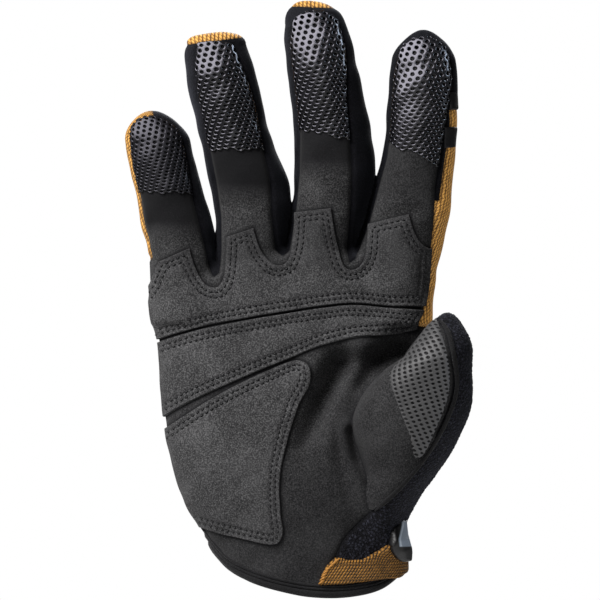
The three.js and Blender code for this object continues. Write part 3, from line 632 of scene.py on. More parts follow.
def finger_face(finger, inset, left_foot, right_foot, top):
    """Outline of a finger's palm side between its seams, from a slanted foot to a round top."""
    rows, (_, centre) = finger["rows"], finger["leather_top"]
    shoulder = rows["height"][-1]

    def edge(side, height):
        turn = 1 if side == "left" else -1
        return along(rows, side, height) + turn * (along(rows, side + "_seam", height) + inset)

    left_heights = np.linspace(left_foot, shoulder, 8)
    right_heights = np.linspace(shoulder, right_foot, 8)
    left, right = edge("left", shoulder), edge("right", shoulder)
    angle = np.linspace(np.pi, 0, 13)[1:-1]
    lift = np.sin(angle) ** 0.9
    middle = (left + right) / 2
    cap = np.stack([
        middle + (right - left) / 2 * np.cos(angle) + (centre - middle) * lift,
        shoulder + (top - shoulder) * lift,
    ], axis=1)
    return np.vstack([
        np.stack([edge("left", left_heights), left_heights], axis=1), cap,
        np.stack([edge("right", right_heights), right_heights], axis=1),
    ])


def palm_panel_reach(points):
    x, y, z = points.T
    tan_edge = smooth_line(TAN_EDGE, 6)
    tan_edge = tan_edge[tan_edge[:, 1] < 127.5]
    webs = [(web_x + side * WEB_POINT, web_z + (abs(side) - 0.35) * WEB_POINT)
            for web_x, web_z in WEBS[1:] for side in (-1, 0, 1)]
    outline = np.vstack([WEBS[:1], webs, tan_edge, [(47, 100.4), (47, -20), (-FAR, -20), (-FAR, 128)]])
    reach = np.maximum(outline_reach(outline, x, z), y - PALM_SEAM_Y)
    for finger in FINGERS.values():
        face = finger_face(finger, 0, LOBE_FOOT, LOBE_FOOT, finger["leather_top"][0])
        reach = np.minimum(reach, np.maximum(outline_reach(face, x, z), y - FINGER_FRONT_SEAM_Y))
    return np.maximum(reach, -tip_reach(points))


RING_TIP = (207.0, 210.0)  # height of the tan tip's lower edge, left and right
MIDDLE_TIP = (221.6, 220.7)


def tip_reach(points):
    """The two tan fingertips, as regions above a slanted line."""
    x, _, z = points.T
    reach = np.full(len(points), np.inf)
    for finger, (left_height, right_height) in ((RING, RING_TIP), (MIDDLE, MIDDLE_TIP)):
        left, right = finger["rows"]["left"][-1], finger["rows"]["right"][-1]
        line = left_height + (right_height - left_height) * (x - left) / (right - left)
        beside = np.maximum(left - 3 - x, x - right - 3)
        reach = np.minimum(reach, np.maximum(line - z, beside))
    return reach


def curled(points):
    """The fingers bent a little towards the palm."""
    part = np.maximum(points[:, 2] - CURL_START, 0) / (CURL_END - CURL_START)
    return points - np.stack([0 * part, CURL * part**2, 0 * part], axis=1)


def piece_mesh(name, points, faces, material, values=None, crisp=None):
    """A Blender object from points in millimetres, with one number a point for each value."""
    mesh = bpy.data.meshes.new(name)
    mesh.vertices.add(len(points))
    mesh.vertices.foreach_set("co", (curled(points) * MM).astype(np.float32).ravel())
    mesh.loops.add(faces.size)
    mesh.loops.foreach_set("vertex_index", faces.astype(np.int32).ravel())
    mesh.polygons.add(len(faces))
    mesh.polygons.foreach_set("loop_start", np.arange(0, faces.size, faces.shape[1], dtype=np.int32))
    mesh.update(calc_edges=True)
    mesh.validate()
    mesh.polygons.foreach_set("use_smooth", np.ones(len(mesh.polygons), bool))
    if crisp:
        mesh.set_sharp_from_angle(angle=math.radians(crisp))
    for label, numbers in (values or {}).items():
        attribute = mesh.attributes.new(label, "FLOAT", "POINT")
        attribute.data.foreach_set("value", np.asarray(numbers, np.float32))
    mesh.materials.append(material)
    piece = bpy.data.objects.new(name, mesh)
    bpy.context.scene.collection.objects.link(piece)
    return piece


def turned_down(points, faces, outward, depth):
    """A mesh with a strip turned down along its open edges, and where each point came from."""
    edges = open_edges(faces)
    used = np.unique(edges)
    renamed = np.full(len(points), -1)
    renamed[used] = np.arange(len(used)) + len(points)
    a, b = edges.T
    strip = np.concatenate([np.stack([b, a, renamed[a]], 1), np.stack([b, renamed[a], renamed[b]], 1)])
    lowered = points[used] - outward[used] * depth
    source = np.concatenate([np.arange(len(points)), used])
    return np.vstack([points, lowered]), np.vstack([faces, strip]), source


def fingertip(points):
    """1 over the end of a fingertip, where the hand fills the cloth tight, and 0 below it."""
    part = np.zeros(len(points))
    for finger in FINGERS.values():
        tip_height, tip_centre, _ = finger["tip"]
        near = np.abs(points[:, 0] - tip_centre) < TIP_REACH
        part = np.where(near, np.clip((points[:, 2] - tip_height) / TIP_REACH + 1, 0, 1), part)
    return part


def panel(name, points, faces, seam, material, node, slot, values=None, turn=EDGE_TURN):
    """A sewn panel: its edges are pinched into the seams and the cloth beside them puffs up."""
    points, outward = settled(points, 1)
    seam = np.maximum(seam, 0)
    height = SEAM_PUFF * (1 - np.exp(-seam / SEAM_PUFF_WIDTH))
    height = height - (SEAM_DEPTH + SEAM_PUFF) * np.exp(-((seam / SEAM_WIDTH) ** 2))
    height = height * (1 - 0.85 * fingertip(points))
    points = points + outward * height[:, None]
    points, faces, source = turned_down(points, faces, outward, turn)
    values = {label: numbers[source] for label, numbers in (values or {}).items()}
    values["seam"] = seam[source]
    piece = piece_mesh(name, points, faces, material, values, crisp=CRISP)
    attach(piece, "root")
    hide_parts(node)
    return piece


def node(tree, kind, inputs=None, **settings):
    """A shader node with its settings, its inputs set to values or linked from other outputs."""
    made = tree.nodes.new(kind)
    for label, value in settings.items():
        setattr(made, label, value)
    for label, value in (inputs or {}).items():
        if isinstance(value, bpy.types.NodeSocket):
            tree.links.new(value, made.inputs[label])
        else:
            made.inputs[label].default_value = value
    return made


def sums(tree, operation, *values):
    """The result of a Math node on outputs and numbers."""
    return node(
        tree, "ShaderNodeMath", dict(enumerate(values)), operation=operation
    ).outputs[0]


def share(tree, value, low, high, to_low=0.0, to_high=1.0, kind="SMOOTHSTEP"):
    """A value's place between two limits, from 0 to 1 or between two other numbers."""
    return node(tree, "ShaderNodeMapRange", {
        "Value": value, "From Min": low, "From Max": high, "To Min": to_low, "To Max": to_high,
    }, interpolation_type=kind).outputs["Result"]


def mixed(tree, amount, one, other, blend="MIX"):
    made = node(tree, "ShaderNodeMix", data_type="RGBA", blend_type=blend)
    for socket, value in zip((made.inputs[0], made.inputs[6], made.inputs[7]), (amount, one, other)):
        if isinstance(value, bpy.types.NodeSocket):
            tree.links.new(value, socket)
        else:
            socket.default_value = value
    return made.outputs[2]


def effect(name, inputs, outputs):
    """An empty node group with named sockets: inputs are (name, default), outputs are names."""
    tree = bpy.data.node_groups.new(name, "ShaderNodeTree")
    kinds = {3: "NodeSocketVector", 4: "NodeSocketColor"}
    for label, value in inputs:
        kind = kinds.get(len(value), "") if hasattr(value, "__len__") else "NodeSocketFloat"
        socket = tree.interface.new_socket(label, in_out="INPUT", socket_type=kind)
        socket.default_value = value
    for label in outputs:
        kind = "NodeSocketColor" if "Color" in label else "NodeSocketFloat"
        tree.interface.new_socket(label, in_out="OUTPUT", socket_type=kind)
    return tree, tree.nodes.new("NodeGroupInput").outputs, tree.nodes.new("NodeGroupOutput").inputs


def placed(tree, group, **values):
    """A node group put into a material, with its own values."""
    made = node(tree, "ShaderNodeGroup", node_tree=group)
    for label, value in values.items():
        socket = made.inputs[label.replace("_", " ")]
        if isinstance(value, bpy.types.NodeSocket):
            tree.links.new(value, socket)
        else:
            socket.default_value = value
    return made.outputs


def material(name):
    made = bpy.data.materials.new(name)
    made.use_nodes = True
    tree = made.node_tree
    return made, tree, tree.nodes["Principled BSDF"]


def set_shader(tree, shader, height=None, distance=0.0003, strength=1.0, **values):
    """Sets or links the shader's sockets, and its normal from a height."""
    for label, value in values.items():
        socket = shader.inputs[label.replace("_", " ")]
        if isinstance(value, bpy.types.NodeSocket):
            tree.links.new(value, socket)
        else:
            socket.default_value = value
    if height is not None:
        bump = node(tree, "ShaderNodeBump", {
            "Height": height, "Distance": distance, "Strength": strength,
        })
        tree.links.new(bump.outputs["Normal"], shader.inputs["Normal"])


def linear(red, green, blue):
    """A colour as a screen shows it, 0 to 255, as the shader takes it."""
    parts = [value / 255 for value in (red, green, blue)]
    return (*[p / 12.92 if p <= 0.04045 else ((p + 0.055) / 1.055) ** 2.4 for p in parts], 1.0)


def place_of(tree):
    return node(tree, "ShaderNodeTexCoord").outputs["Object"]


def value_of(tree, label):
    return node(tree, "ShaderNodeAttribute", attribute_name=label).outputs["Fac"]


def noise_of(tree, place, scale, detail=2.0, roughness=0.5):
    return node(tree, "ShaderNodeTexNoise", {
        "Vector": place, "Scale": scale, "Detail": detail, "Roughness": roughness,
    }).outputs["Fac"]


def make_suede_nap():
    """Short brushed fibres: a fine speckle, slow patches of lying nap and a few pale specks, with painted
    shade that takes the colour nearly to black where Unshaded is low.
    """
    tree, given, out = effect(
        "suede_nap",
        [("Place", (0, 0, 0)), ("Dark Color", (0, 0, 0, 1)), ("Light Color", (1, 1, 1, 1)),
         ("Grain", 2000.0), ("Patches", 70.0), ("Specks", 0.5), ("Wear", 1.0)],
        ["Color", "Roughness", "Height"],
    )
    fibre = noise_of(tree, given["Place"], given["Grain"], 3.0, 0.65)
    patch = noise_of(tree, given["Place"], given["Patches"], 3.0, 0.6)
    wide = share(tree, fibre, 0.38, 0.74)
    slow = share(tree, patch, 0.3, 0.7, -0.1, 0.1)
    calm = share(tree, given["Wear"], 0.0, 1.0, 0.35, 1.0, "LINEAR")
    tone = sums(tree, "ADD", sums(tree, "MULTIPLY", wide, calm), slow)
    tone = sums(tree, "ADD", tone, share(tree, calm, 0.35, 1.0, 0.2, 0.0, "LINEAR"))
    base = mixed(tree, sums(tree, "MINIMUM", sums(tree, "MAXIMUM", tone, 0.0), 1.0),
                 given["Dark Color"], given["Light Color"])
    lint = noise_of(tree, given["Place"], sums(tree, "MULTIPLY", given["Grain"], 0.8), 1.0)
    speck = sums(tree, "MULTIPLY", share(tree, lint, 0.71, 0.8), given["Specks"])
    pale = mixed(tree, 0.5, given["Light Color"], (0.3, 0.3, 0.3, 1))
    speckled = mixed(tree, speck, base, pale)
    # Painted shade: where the unshaded share is low, the colour goes nearly black.
    painted_dark = mixed(tree, 0.93, speckled, (0.003, 0.003, 0.004, 1))
    tree.links.new(mixed(tree, given["Wear"], painted_dark, speckled), out["Color"])
    tree.links.new(share(tree, fibre, 0.2, 0.8, 0.98, 0.86, "LINEAR"), out["Roughness"])
    tree.links.new(sums(tree, "ADD", fibre, sums(tree, "MULTIPLY", patch, 0.5)), out["Height"])
    return tree


def make_seam_shade():
    """The dirt and shade that gather in the last millimetres before a seam."""
    tree, given, out = effect(
        "seam_shade",
        [("Base Color", (0, 0, 0, 1)), ("Seam", 1.0), ("Width", 1.2), ("Strength", 0.5)],
        ["Color"],
    )
    near = share(tree, sums(tree, "DIVIDE", given["Seam"], given["Width"]), 0.0, 1.0, 1.0, 0.0)
    amount = sums(tree, "MULTIPLY", near, given["Strength"])
    tree.links.new(mixed(tree, amount, given["Base Color"], (0.002, 0.002, 0.003, 1)), out["Color"])
    return tree


suede_nap, seam_shade = make_suede_nap(), make_seam_shade()


def suede(name, dark, light, specks=0.5, seam_width=1.2, seam_strength=0.6):
    """Charcoal synthetic suede: matt, with a faint sheen of the fibre ends."""
    made, tree, shader = material(name)
    nap = placed(tree, suede_nap, Place=place_of(tree), Dark_Color=linear(*dark),
                 Light_Color=linear(*light), Specks=specks, Wear=value_of(tree, "wear"))
    shaded = placed(tree, seam_shade, Base_Color=nap["Color"], Seam=value_of(tree, "seam"),
                    Width=seam_width, Strength=seam_strength)
    set_shader(
        tree, shader, nap["Height"], 0.00008, 0.5, Base_Color=shaded["Color"],
        Roughness=nap["Roughness"], Specular_IOR_Level=0.12, Sheen_Weight=0.05,
        Sheen_Roughness=0.6,
    )
    return made


# Painted shade on the fingers beyond the last crease of each finger: the crease's height, and how dark
FINGER_PAINTED_SHADE = {"little": (137, 0.95), "ring": (151, 0.97), "middle": (160, 0.86), "index": (148, 0.4)}

# Painted shade on the palm: height where each starts, way down to its full effect, darkness
CUFF_PAINTED_SHADE = (78, 60, 0.38)
VALLEY_PAINTED_SHADE = (108, 12, 0.14)
VALLEY_PAINTED_SHADE_SIDE = (-10, 18)  # where the valley starts from the left, and its way across


def unshaded_share(points):
    """How much of the suede's colour painted shade leaves: least on the fingers and by the cuff and the
    thumb.
    """
    x, _, z = points.T
    dark = np.zeros(len(points))
    for label, (crease, darkness) in FINGER_PAINTED_SHADE.items():
        rows = FINGERS[label]["rows"]
        beside = np.maximum(along(rows, "left", z) - x, x - along(rows, "right", z))
        beyond = np.clip((z - crease) / 8 + 0.5, 0, 1)
        dark = np.maximum(dark, np.where(beside < 2, darkness * beyond, 0))
    top, way, darkness = CUFF_PAINTED_SHADE
    cuff = np.clip((top - z) / way, 0, 1) * darkness
    top, way, darkness = VALLEY_PAINTED_SHADE
    side, across = VALLEY_PAINTED_SHADE_SIDE
    valley = np.clip((x - side) / across, 0, 1) * np.clip((top - z) / way, 0, 1) * darkness
    return 1 - np.maximum(dark, 1 - (1 - cuff) * (1 - valley))


palm_suede = suede("palm_suede", (24, 24, 25), (80, 80, 81))

taken = []


def take(points, faces, region, ease=lambda points: 0.0):
    """Cuts a region out of the cloth that is left: the region's mesh, its seams, and the rest."""
    own, left = cut(points, faces, region(points))
    seam = ease(own[0]) - region(own[0])
    for other in taken:
        seam = np.minimum(seam, other(own[0]))
    taken.append(lambda points: region(points) + ease(points))
    return own, seam, left


ROOT_EASE = 6  # how far a pinched seam is kept away there
ROOT_EASE_TOP = (62, 10)  # height where the ease starts, and the way down to its full effect
ROOT_EASE_TERRY = (2, 4)  # the same, by the distance from the terry's seam


def thumb_root_ease(points):
    """The thumb's suede runs on into the palm's in the crease and below it, with no pinched seam."""
    x, _, z = points.T
    from_terry = -outline_reach(terry_outline(), x, z)
    (top, way), (off, on) = ROOT_EASE_TOP, ROOT_EASE_TERRY
    return ROOT_EASE * np.maximum(
        np.clip((top - z) / way, 0, 1), np.clip((from_terry - off) / on, 0, 1)
    )


cloth_points, cloth_faces = cut(
    form_points, form_faces, rim_height(form_points[:, 0]) + BINDING_HEIGHT / 2 - form_points[:, 2]
)[0]
thumb_front_cut, thumb_front_seam, cloth = take(
    cloth_points, cloth_faces, thumb_front_reach, thumb_root_ease
)
thumb_front = panel("thumb_front_suede", *thumb_front_cut, thumb_front_seam, palm_suede,
                    "thumb_front", "suede", {"wear": unshaded_share(thumb_front_cut[0])})

# Terry thumb back
# The back and outer side of the thumb down to the wrist is black cotton terry for wiping the
# face: a knit whose yarn stands up in small crowded loops. A smooth rolled seam divides it
# from the thumb's suede.
TERRY_BACK = [
    (29, -20), (FAR, -20), (FAR, 76), (46, 75), (41, 71.5), (37, 64), (34, 54), (31.5, 40), (29.5, 20),
]


def thumb_back_reach(points):
    x, y, z = points.T
    corner = smooth_line(TERRY_SEAM, 6)
    corner = corner[corner[:, 1] < 56]
    front = outline_reach(np.vstack([corner, [(6.5, -20), (FAR, -20), (FAR, 56)]]), x, z)
    back = outline_reach(TERRY_BACK, x, z)
    region = np.minimum(thumb_reach(points), np.maximum(front, y))
    return np.minimum(region, np.maximum(back, -y))


thumb_back_cut, _, cloth = take(*cloth, thumb_back_reach)
palm_cut, palm_seam, cloth = take(*cloth, palm_panel_reach)
LOOP_SIZE = 1.15
LOOP_HEIGHT = 0.32
LOOP_CURL = 0.5
LOOP_DOME = 0.55  # how far from the gap between loops a dome has its full height
LOOP_FADE = 1.5  # width over which the loops sink towards a seam
LOOP_SEED = 7  # without it the curl of the loops would differ from run to run
PIPING_RADIUS = 0.95
PIPING_FLATNESS = 0.5
PIPING_OFFSET = 0.9

noise.seed_set(LOOP_SEED)


def looped(points, seam):
    """Height of the terry's loops at each point: crowded little domes, pulled about by a curl."""
    heights = []
    for x, y, z in points:
        place = Vector((x, y, z)) / LOOP_SIZE
        place = place + LOOP_CURL * noise.noise_vector(place * 0.7)
        near = noise.voronoi(place)[0]
        heights.append(min(near[1] - near[0], LOOP_DOME) / LOOP_DOME)
    return LOOP_HEIGHT * np.array(heights) * np.clip(seam / LOOP_FADE, 0, 1)


def front_y(x, z, start=-50.0, rounds=70):
    """Depth of the palm side at places seen from in front; past the glove it is very deep."""
    y = np.zeros(len(x)) + start
    for _ in range(rounds):
        y = np.minimum(y + np.clip(form_reach(x, y, z), -1, 4) * 0.8, 60)
    return y


def evenly(line, step):
    """A line through the same places, with its points an even step apart."""
    lengths = np.concatenate([[0], np.cumsum(np.linalg.norm(np.diff(line, axis=0), axis=1))])
    places = np.linspace(0, lengths[-1], max(int(round(lengths[-1] / step)), 2) + 1)
    return np.stack([np.interp(places, lengths, column) for column in line.T], axis=1)


def rolled(line, outward, radius, sides=10, flatness=1.0):
    """A round roll of cloth along a line: its points and faces."""
    ahead = np.gradient(line, axis=0)
    ahead = ahead / np.linalg.norm(ahead, axis=1, keepdims=True)
    beside = np.cross(ahead, outward)
    beside = beside / np.linalg.norm(beside, axis=1, keepdims=True)
    angles = np.arange(sides) / sides * 2 * np.pi
    taper = np.sqrt(np.clip(np.minimum(np.arange(len(line)), np.arange(len(line))[::-1]) / 4, 0.05, 1))
    rings = (
        line[:, None]
        + beside[:, None] * (radius * np.cos(angles))[None, :, None] * taper[:, None, None]
        + outward[:, None] * (radius * flatness * np.sin(angles))[None, :, None] * taper[:, None, None]
    )
    row = np.arange(len(line) - 1)[:, None] * sides
    here, after = np.arange(sides)[None], (np.arange(sides)[None] + 1) % sides
    a, b = (row + here).ravel(), (row + after).ravel()
    faces = np.concatenate([np.stack([a, a + sides, b + sides], 1), np.stack([a, b + sides, b], 1)])
    return rings.reshape(-1, 3), faces


def make_knit_face():
    """A fine knitted or looped face: small soft cells, and a painted shade mask that is darker between
    them.
    """
    tree, given, out = effect(
        "knit_face", [("Place", (0, 0, 0)), ("Cell", 1400.0), ("Stretch", 1.0)],
        ["Height", "Depth Color"],
    )
    moved = node(tree, "ShaderNodeVectorMath", {
        0: given["Place"],
        1: node(tree, "ShaderNodeCombineXYZ", {"X": 1.0, "Y": 1.0, "Z": given["Stretch"]}).outputs[0],
    }, operation="MULTIPLY").outputs[0]
    cell = node(tree, "ShaderNodeTexVoronoi", {
        "Vector": moved, "Scale": given["Cell"],
    }, feature="F1").outputs["Distance"]
    height = share(tree, cell, 0.1, 0.75, 1.0, 0.0)
    tree.links.new(height, out["Height"])
    tree.links.new(height, out["Depth Color"])
    return tree


knit_face = make_knit_face()

terry_cloth, tree, shader = material("terry_cloth")
face = placed(tree, knit_face, Place=place_of(tree), Cell=1500.0, Stretch=0.8)
# Painted shade: the terry is coloured darker from the loops' tops down into the gaps between them.
raised = share(tree, value_of(tree, "loop"), 0.1, 0.9)
tone = mixed(tree, raised, linear(5, 5, 8), linear(43, 44, 53))
set_shader(tree, shader, face["Height"], 0.0003, 0.8, Base_Color=tone, Roughness=0.9,
           Specular_IOR_Level=0.2, Sheen_Weight=0.12, Sheen_Roughness=0.5,
           Sheen_Tint=linear(170, 175, 195))

points, faces = refined(*thumb_back_cut)
points, outward = settled(points)
seam = np.maximum(np.minimum(-thumb_back_reach(points), thumb_front_reach(points)), 0)
loops = looped(points, seam)
points = points + outward * (loops - 0.35 * np.exp(-((seam / SEAM_WIDTH) ** 2)))[:, None]
points, faces, source = turned_down(points, faces, outward, EDGE_TURN)
thumb_terry = piece_mesh("thumb_back_terry", points, faces, terry_cloth,
                         {"loop": loops[source] / LOOP_HEIGHT, "seam": seam[source]})
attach(thumb_terry, "root")
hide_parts("thumb_back")

black_cloth, tree, shader = material("black_cloth")
face = placed(tree, knit_face, Place=place_of(tree), Cell=2200.0)
# Painted shade: the knit is coloured darker between its cells.
tone = mixed(tree, face["Height"], linear(4, 4, 5), linear(20, 20, 24))
set_shader(tree, shader, face["Height"], 0.00015, 0.6, Base_Color=tone, Roughness=0.85,
           Specular_IOR_Level=0.3, Sheen_Weight=0.1)

seam_line = evenly(smooth_line(TERRY_SEAM[:-1], 8) + [PIPING_OFFSET, 0], 1.2)
line = np.column_stack([seam_line[:, 0], front_y(*seam_line.T), seam_line[:, 1]])
line = line[(line[:, 1] < -4) & (line[:, 2] > rim_height(line[:, 0]) + BINDING_HEIGHT)]
line, outward = settled(line)
line, outward = (part[thumb_reach(line) < 1] for part in (line, outward))
thumb_piping = piece_mesh("thumb_piping", *rolled(
    line + outward * 0.3, outward, PIPING_RADIUS, flatness=PIPING_FLATNESS
), black_cloth)
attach(thumb_piping, "root")

palm_panel = panel("palm_suede_panel", *palm_cut, palm_seam, palm_suede, "palm_panel", "suede",
                   {"wear": unshaded_share(palm_cut[0])})

# The crease where the thumb meets the palm lies in shade
CREASE_SHADE = 0.95
CREASE_WIDTH = 1.0
CREASE_SOFT_SHADE = 0.35
CREASE_SOFT_WIDTH = 4.0
CREASE_FOOT = (44, 50)


def shade(piece, darkness):
    """Paints shade into a suede piece's colour, by a share that depends on the place."""
    places = np.empty(3 * len(piece.data.vertices), np.float32)
    piece.data.vertices.foreach_get("co", places)
    attribute = piece.data.attributes["wear"].data
    wear = np.empty(len(attribute), np.float32)
    attribute.foreach_get("value", wear)
    wear = wear * (1 - darkness(*(places.reshape(-1, 3).T / MM)))
    attribute.foreach_set("value", wear.astype(np.float32))


def crease_shade(x, y, z):
    gap = thumb_reach(np.stack([x, y, z], axis=1))
    low, high = CREASE_FOOT
    darkness = np.maximum(CREASE_SHADE * np.exp(-((gap / CREASE_WIDTH) ** 2)),
                          CREASE_SOFT_SHADE * np.exp(-((gap / CREASE_SOFT_WIDTH) ** 2)))
    return darkness * np.clip((z - low) / (high - low), 0, 1)


for piece in (palm_panel, thumb_front):
    shade(piece, crease_shade)

# Spandex between the fingers
# The sides of the fingers are strips of thin black stretch knit, one running down the side of
# a finger, across the web and up the next. The index finger has one on its outer side too.
FINGER_BACK_SEAM_Y = 4
WEB_FLOOR = 4
TAN_EDGE_WALL_END = 148.5
WALL = 1.8


def middle_line(finger, foot):
    shoulder = finger["rows"]["height"][-1]
    heights = np.linspace(foot, shoulder, 8)
    middle = (along(finger["rows"], "left", heights) + along(finger["rows"], "right", heights)) / 2
    tip_height, tip_centre, _ = finger["tip"]
    return np.vstack([np.stack([middle, heights], 1), [(tip_centre, tip_height + WALL)]])


def strip_between(left, right, web):
    foot = web[1] - WEB_FLOOR
    left_line, right_line = middle_line(left, foot), middle_line(right, foot)[::-1]
    above = [(left_line[-1, 0], 3 * FAR), (right_line[0, 0], 3 * FAR)]
    outline = np.vstack([left_line, above, right_line])

    def reach(points):
        x, y, z = points.T
        return np.maximum(
            np.maximum(outline_reach(outline, x, z), y - FINGER_BACK_SEAM_Y), -tip_reach(points)
        )

    return reach


def index_wall_reach(points):
    x, y, z = points.T
    edge = smooth_line(TAN_EDGE, 6)
    edge = edge[edge[:, 1] > TAN_EDGE_WALL_END]
    above = 2.5 * FAR
    outline = np.vstack([
        middle_line(INDEX, TAN_EDGE_WALL_END), [(INDEX["tip"][1], above), (FAR, above),
        (FAR, edge[0, 1])], edge, [(edge[-1, 0], TAN_EDGE_WALL_END)],
    ])
    return np.maximum(outline_reach(outline, x, z), y - FINGER_BACK_SEAM_Y)


spandex, tree, shader = material("spandex")
face = placed(tree, knit_face, Place=place_of(tree), Cell=2600.0, Stretch=0.6)
# Painted shade: the spandex is coloured darker between its knit cells.
shaded = placed(tree, seam_shade, Base_Color=mixed(
    tree, face["Height"], linear(6, 6, 8), linear(21, 21, 26)
), Seam=value_of(tree, "seam"), Width=0.8, Strength=0.6)
set_shader(tree, shader, face["Height"], 0.0001, 0.4, Base_Color=shaded["Color"], Roughness=0.8,
           Specular_IOR_Level=0.06, Sheen_Weight=0.14, Sheen_Roughness=0.5,
           Sheen_Tint=linear(180, 185, 200))

for name, node_name, region in (
    ("spandex_little_ring", "fourchette_little_ring", strip_between(LITTLE, RING, WEBS[1])),
    ("spandex_ring_middle", "fourchette_ring_middle", strip_between(RING, MIDDLE, WEBS[2])),
    ("spandex_middle_index", "fourchette_middle_index", strip_between(MIDDLE, INDEX, WEBS[3])),
    ("spandex_index_side", "index_side_wall", index_wall_reach),
):
    strip, seam, cloth = take(*cloth, region)
    wall = panel(name, *strip, seam, spandex, node_name, "spandex")
    lit_pieces["spandex"].objects.link(wall)

# Tan back of the hand
# The back, the outer edge of the hand and the tips of two fingers are one stretch-woven tan
# cloth. Its ribs run along the fingers and show as rows of small slanting beads at the edges.
RIB = 1.5
BEAD = 1.3


ROOT_SPREAD = (118, 138)  # heights between which the ribs start to follow each finger's sides
TIP_SPREAD = (8, 2)  # distances below the shoulder of a tip between which they stop following


def around_and_up(points):
    """Place on the cloth in millimetres: across, measured along the skin, and up."""
    x, y, z = points.T
    reaches = [tube_reach(tube, x, y, z) for tube in (HAND, *FINGERS.values())]
    nearest = np.argmin(reaches, axis=0)
    across = np.zeros(len(points))
    angles = np.linspace(0, 2 * np.pi, 181)
    for number, tube in enumerate((HAND, *FINGERS.values())):
        mine = nearest == number
        if not mine.any():
            continue
        rows, power = tube["rows"], 2 / tube["roundness"]
        levels = np.linspace(rows["height"][0], rows["height"][-1], 24)
        left, right, front, back = (along(rows, name, levels)[:, None] for name in SECTION[1:])
        ring_x = (right - left) / 2 * np.sign(np.cos(angles)) * np.abs(np.cos(angles)) ** power
        ring_y = (back - front) / 2 * np.sign(np.sin(angles)) * np.abs(np.sin(angles)) ** power
        steps = np.hypot(np.diff(ring_x, axis=1), np.diff(ring_y, axis=1))
        lengths = np.concatenate([np.zeros((24, 1)), np.cumsum(steps, axis=1)], axis=1)
        left, right, front, back = (along(rows, name, z[mine]) for name in SECTION[1:])
        u = (x[mine] - (left + right) / 2) / ((right - left) / 2)
        v = (y[mine] - (front + back) / 2) / ((back - front) / 2)
        angle = np.arctan2(np.sign(v) * np.abs(v) ** (1 / power), np.sign(u) * np.abs(u) ** (1 / power))
        angle = np.mod(angle - np.pi / 2, 2 * np.pi)
        level = np.clip(np.searchsorted(levels, z[mine]), 0, 23)
        back_middle = lengths[:, 45][level]
        total = lengths[:, -1][level]
        place = np.mod(angle + np.pi / 2, 2 * np.pi) / (2 * np.pi) * 180
        low = np.clip(place.astype(int), 0, 179)
        here = lengths[level, low] + (lengths[level, low + 1] - lengths[level, low]) * (place - low)
        arc = back_middle - here
        arc = np.where(arc < -total / 2, arc + total, arc)
        skin = (left + right) / 2 + arc
        outer_way = {1: -1, len(FINGERS): 1}.get(number, 0)
        low, high = ROOT_SPREAD
        follows = np.clip((z[mine] - low) / (high - low), 0, 1)
        if outer_way == 0 and number:
            below = rows["height"][-1] - z[mine]
            start, end = TIP_SPREAD
            follows = follows * np.clip((below - end) / (start - end), 0, 1)
        follows = np.where((number == 0) | (arc * outer_way > 0), 1, follows)
        across[mine] = x[mine] + (skin - x[mine]) * follows
    return across, z


def make_rib_weave():
    """Ropes of slanting beads side by side, each bead a turn of thicker yarn."""
    tree, given, out = effect(
        "rib_weave",
        [("Across", 0.0), ("Up", 0.0), ("Rib", 1.5), ("Bead", 1.3), ("Slant", 0.5)],
        ["Height", "Tone"],
    )
    column = sums(tree, "DIVIDE", given["Across"], given["Rib"])
    beside = sums(tree, "SUBTRACT", sums(tree, "FRACT", column), 0.5)
    number = sums(tree, "FLOOR", column)
    shift = sums(tree, "ADD", sums(tree, "MULTIPLY", beside, given["Slant"]),
                 sums(tree, "MULTIPLY", number, 0.5))
    along_rib = sums(tree, "ADD", sums(tree, "DIVIDE", given["Up"], given["Bead"]), shift)
    within = sums(tree, "SUBTRACT", sums(tree, "FRACT", along_rib), 0.5)

    def dome(value, power):
        doubled = sums(tree, "ABSOLUTE", sums(tree, "MULTIPLY", value, 2.0))
        return sums(tree, "SUBTRACT", 1.0, sums(tree, "POWER", doubled, power))

    height = sums(tree, "MULTIPLY", dome(beside, 2.2), sums(
        tree, "ADD", 0.35, sums(tree, "MULTIPLY", dome(within, 2.5), 0.65)))
    bead_number = sums(tree, "FLOOR", along_rib)
    chance = node(tree, "ShaderNodeTexWhiteNoise", {
        "Vector": node(tree, "ShaderNodeCombineXYZ", {"X": number, "Y": bead_number}).outputs[0],
    }).outputs["Value"]
    tree.links.new(height, out["Height"])
    tree.links.new(chance, out["Tone"])
    return tree


rib_weave = make_rib_weave()


def woven(name, dark, light, rib, bead, slant, depth=0.0004):
    """Tan cord weave, with painted shade: brighter on the crown of each bead, dark brown between the ropes.
    """
    made, tree, shader = material(name)
    weave = placed(tree, rib_weave, Across=value_of(tree, "across"), Up=value_of(tree, "up"),
                   Rib=rib, Bead=bead, Slant=slant)
    fibre = noise_of(tree, place_of(tree), 2400.0, 2.0)
    # Painted shade: the colour follows the weave's height, darker down between the ropes and beads.
    tone = sums(tree, "ADD", weave["Height"], sums(tree, "MULTIPLY", sums(
        tree, "SUBTRACT", weave["Tone"], 0.5), 0.3))
    tone = sums(tree, "ADD", tone, sums(tree, "MULTIPLY", sums(tree, "SUBTRACT", fibre, 0.5), 0.6))
    colour = mixed(tree, share(tree, tone, 0.05, 1.05), linear(*dark), linear(*light))
    shaded = placed(tree, seam_shade, Base_Color=colour, Seam=value_of(tree, "seam"),
                    Width=0.8, Strength=0.5)
    height = sums(tree, "ADD", weave["Height"], sums(tree, "MULTIPLY", fibre, 0.2))
    set_shader(tree, shader, height, depth, 1.0, Base_Color=shaded["Color"], Roughness=0.72,
               Specular_IOR_Level=0.35, Sheen_Weight=0.04, Sheen_Roughness=0.4)
    return made


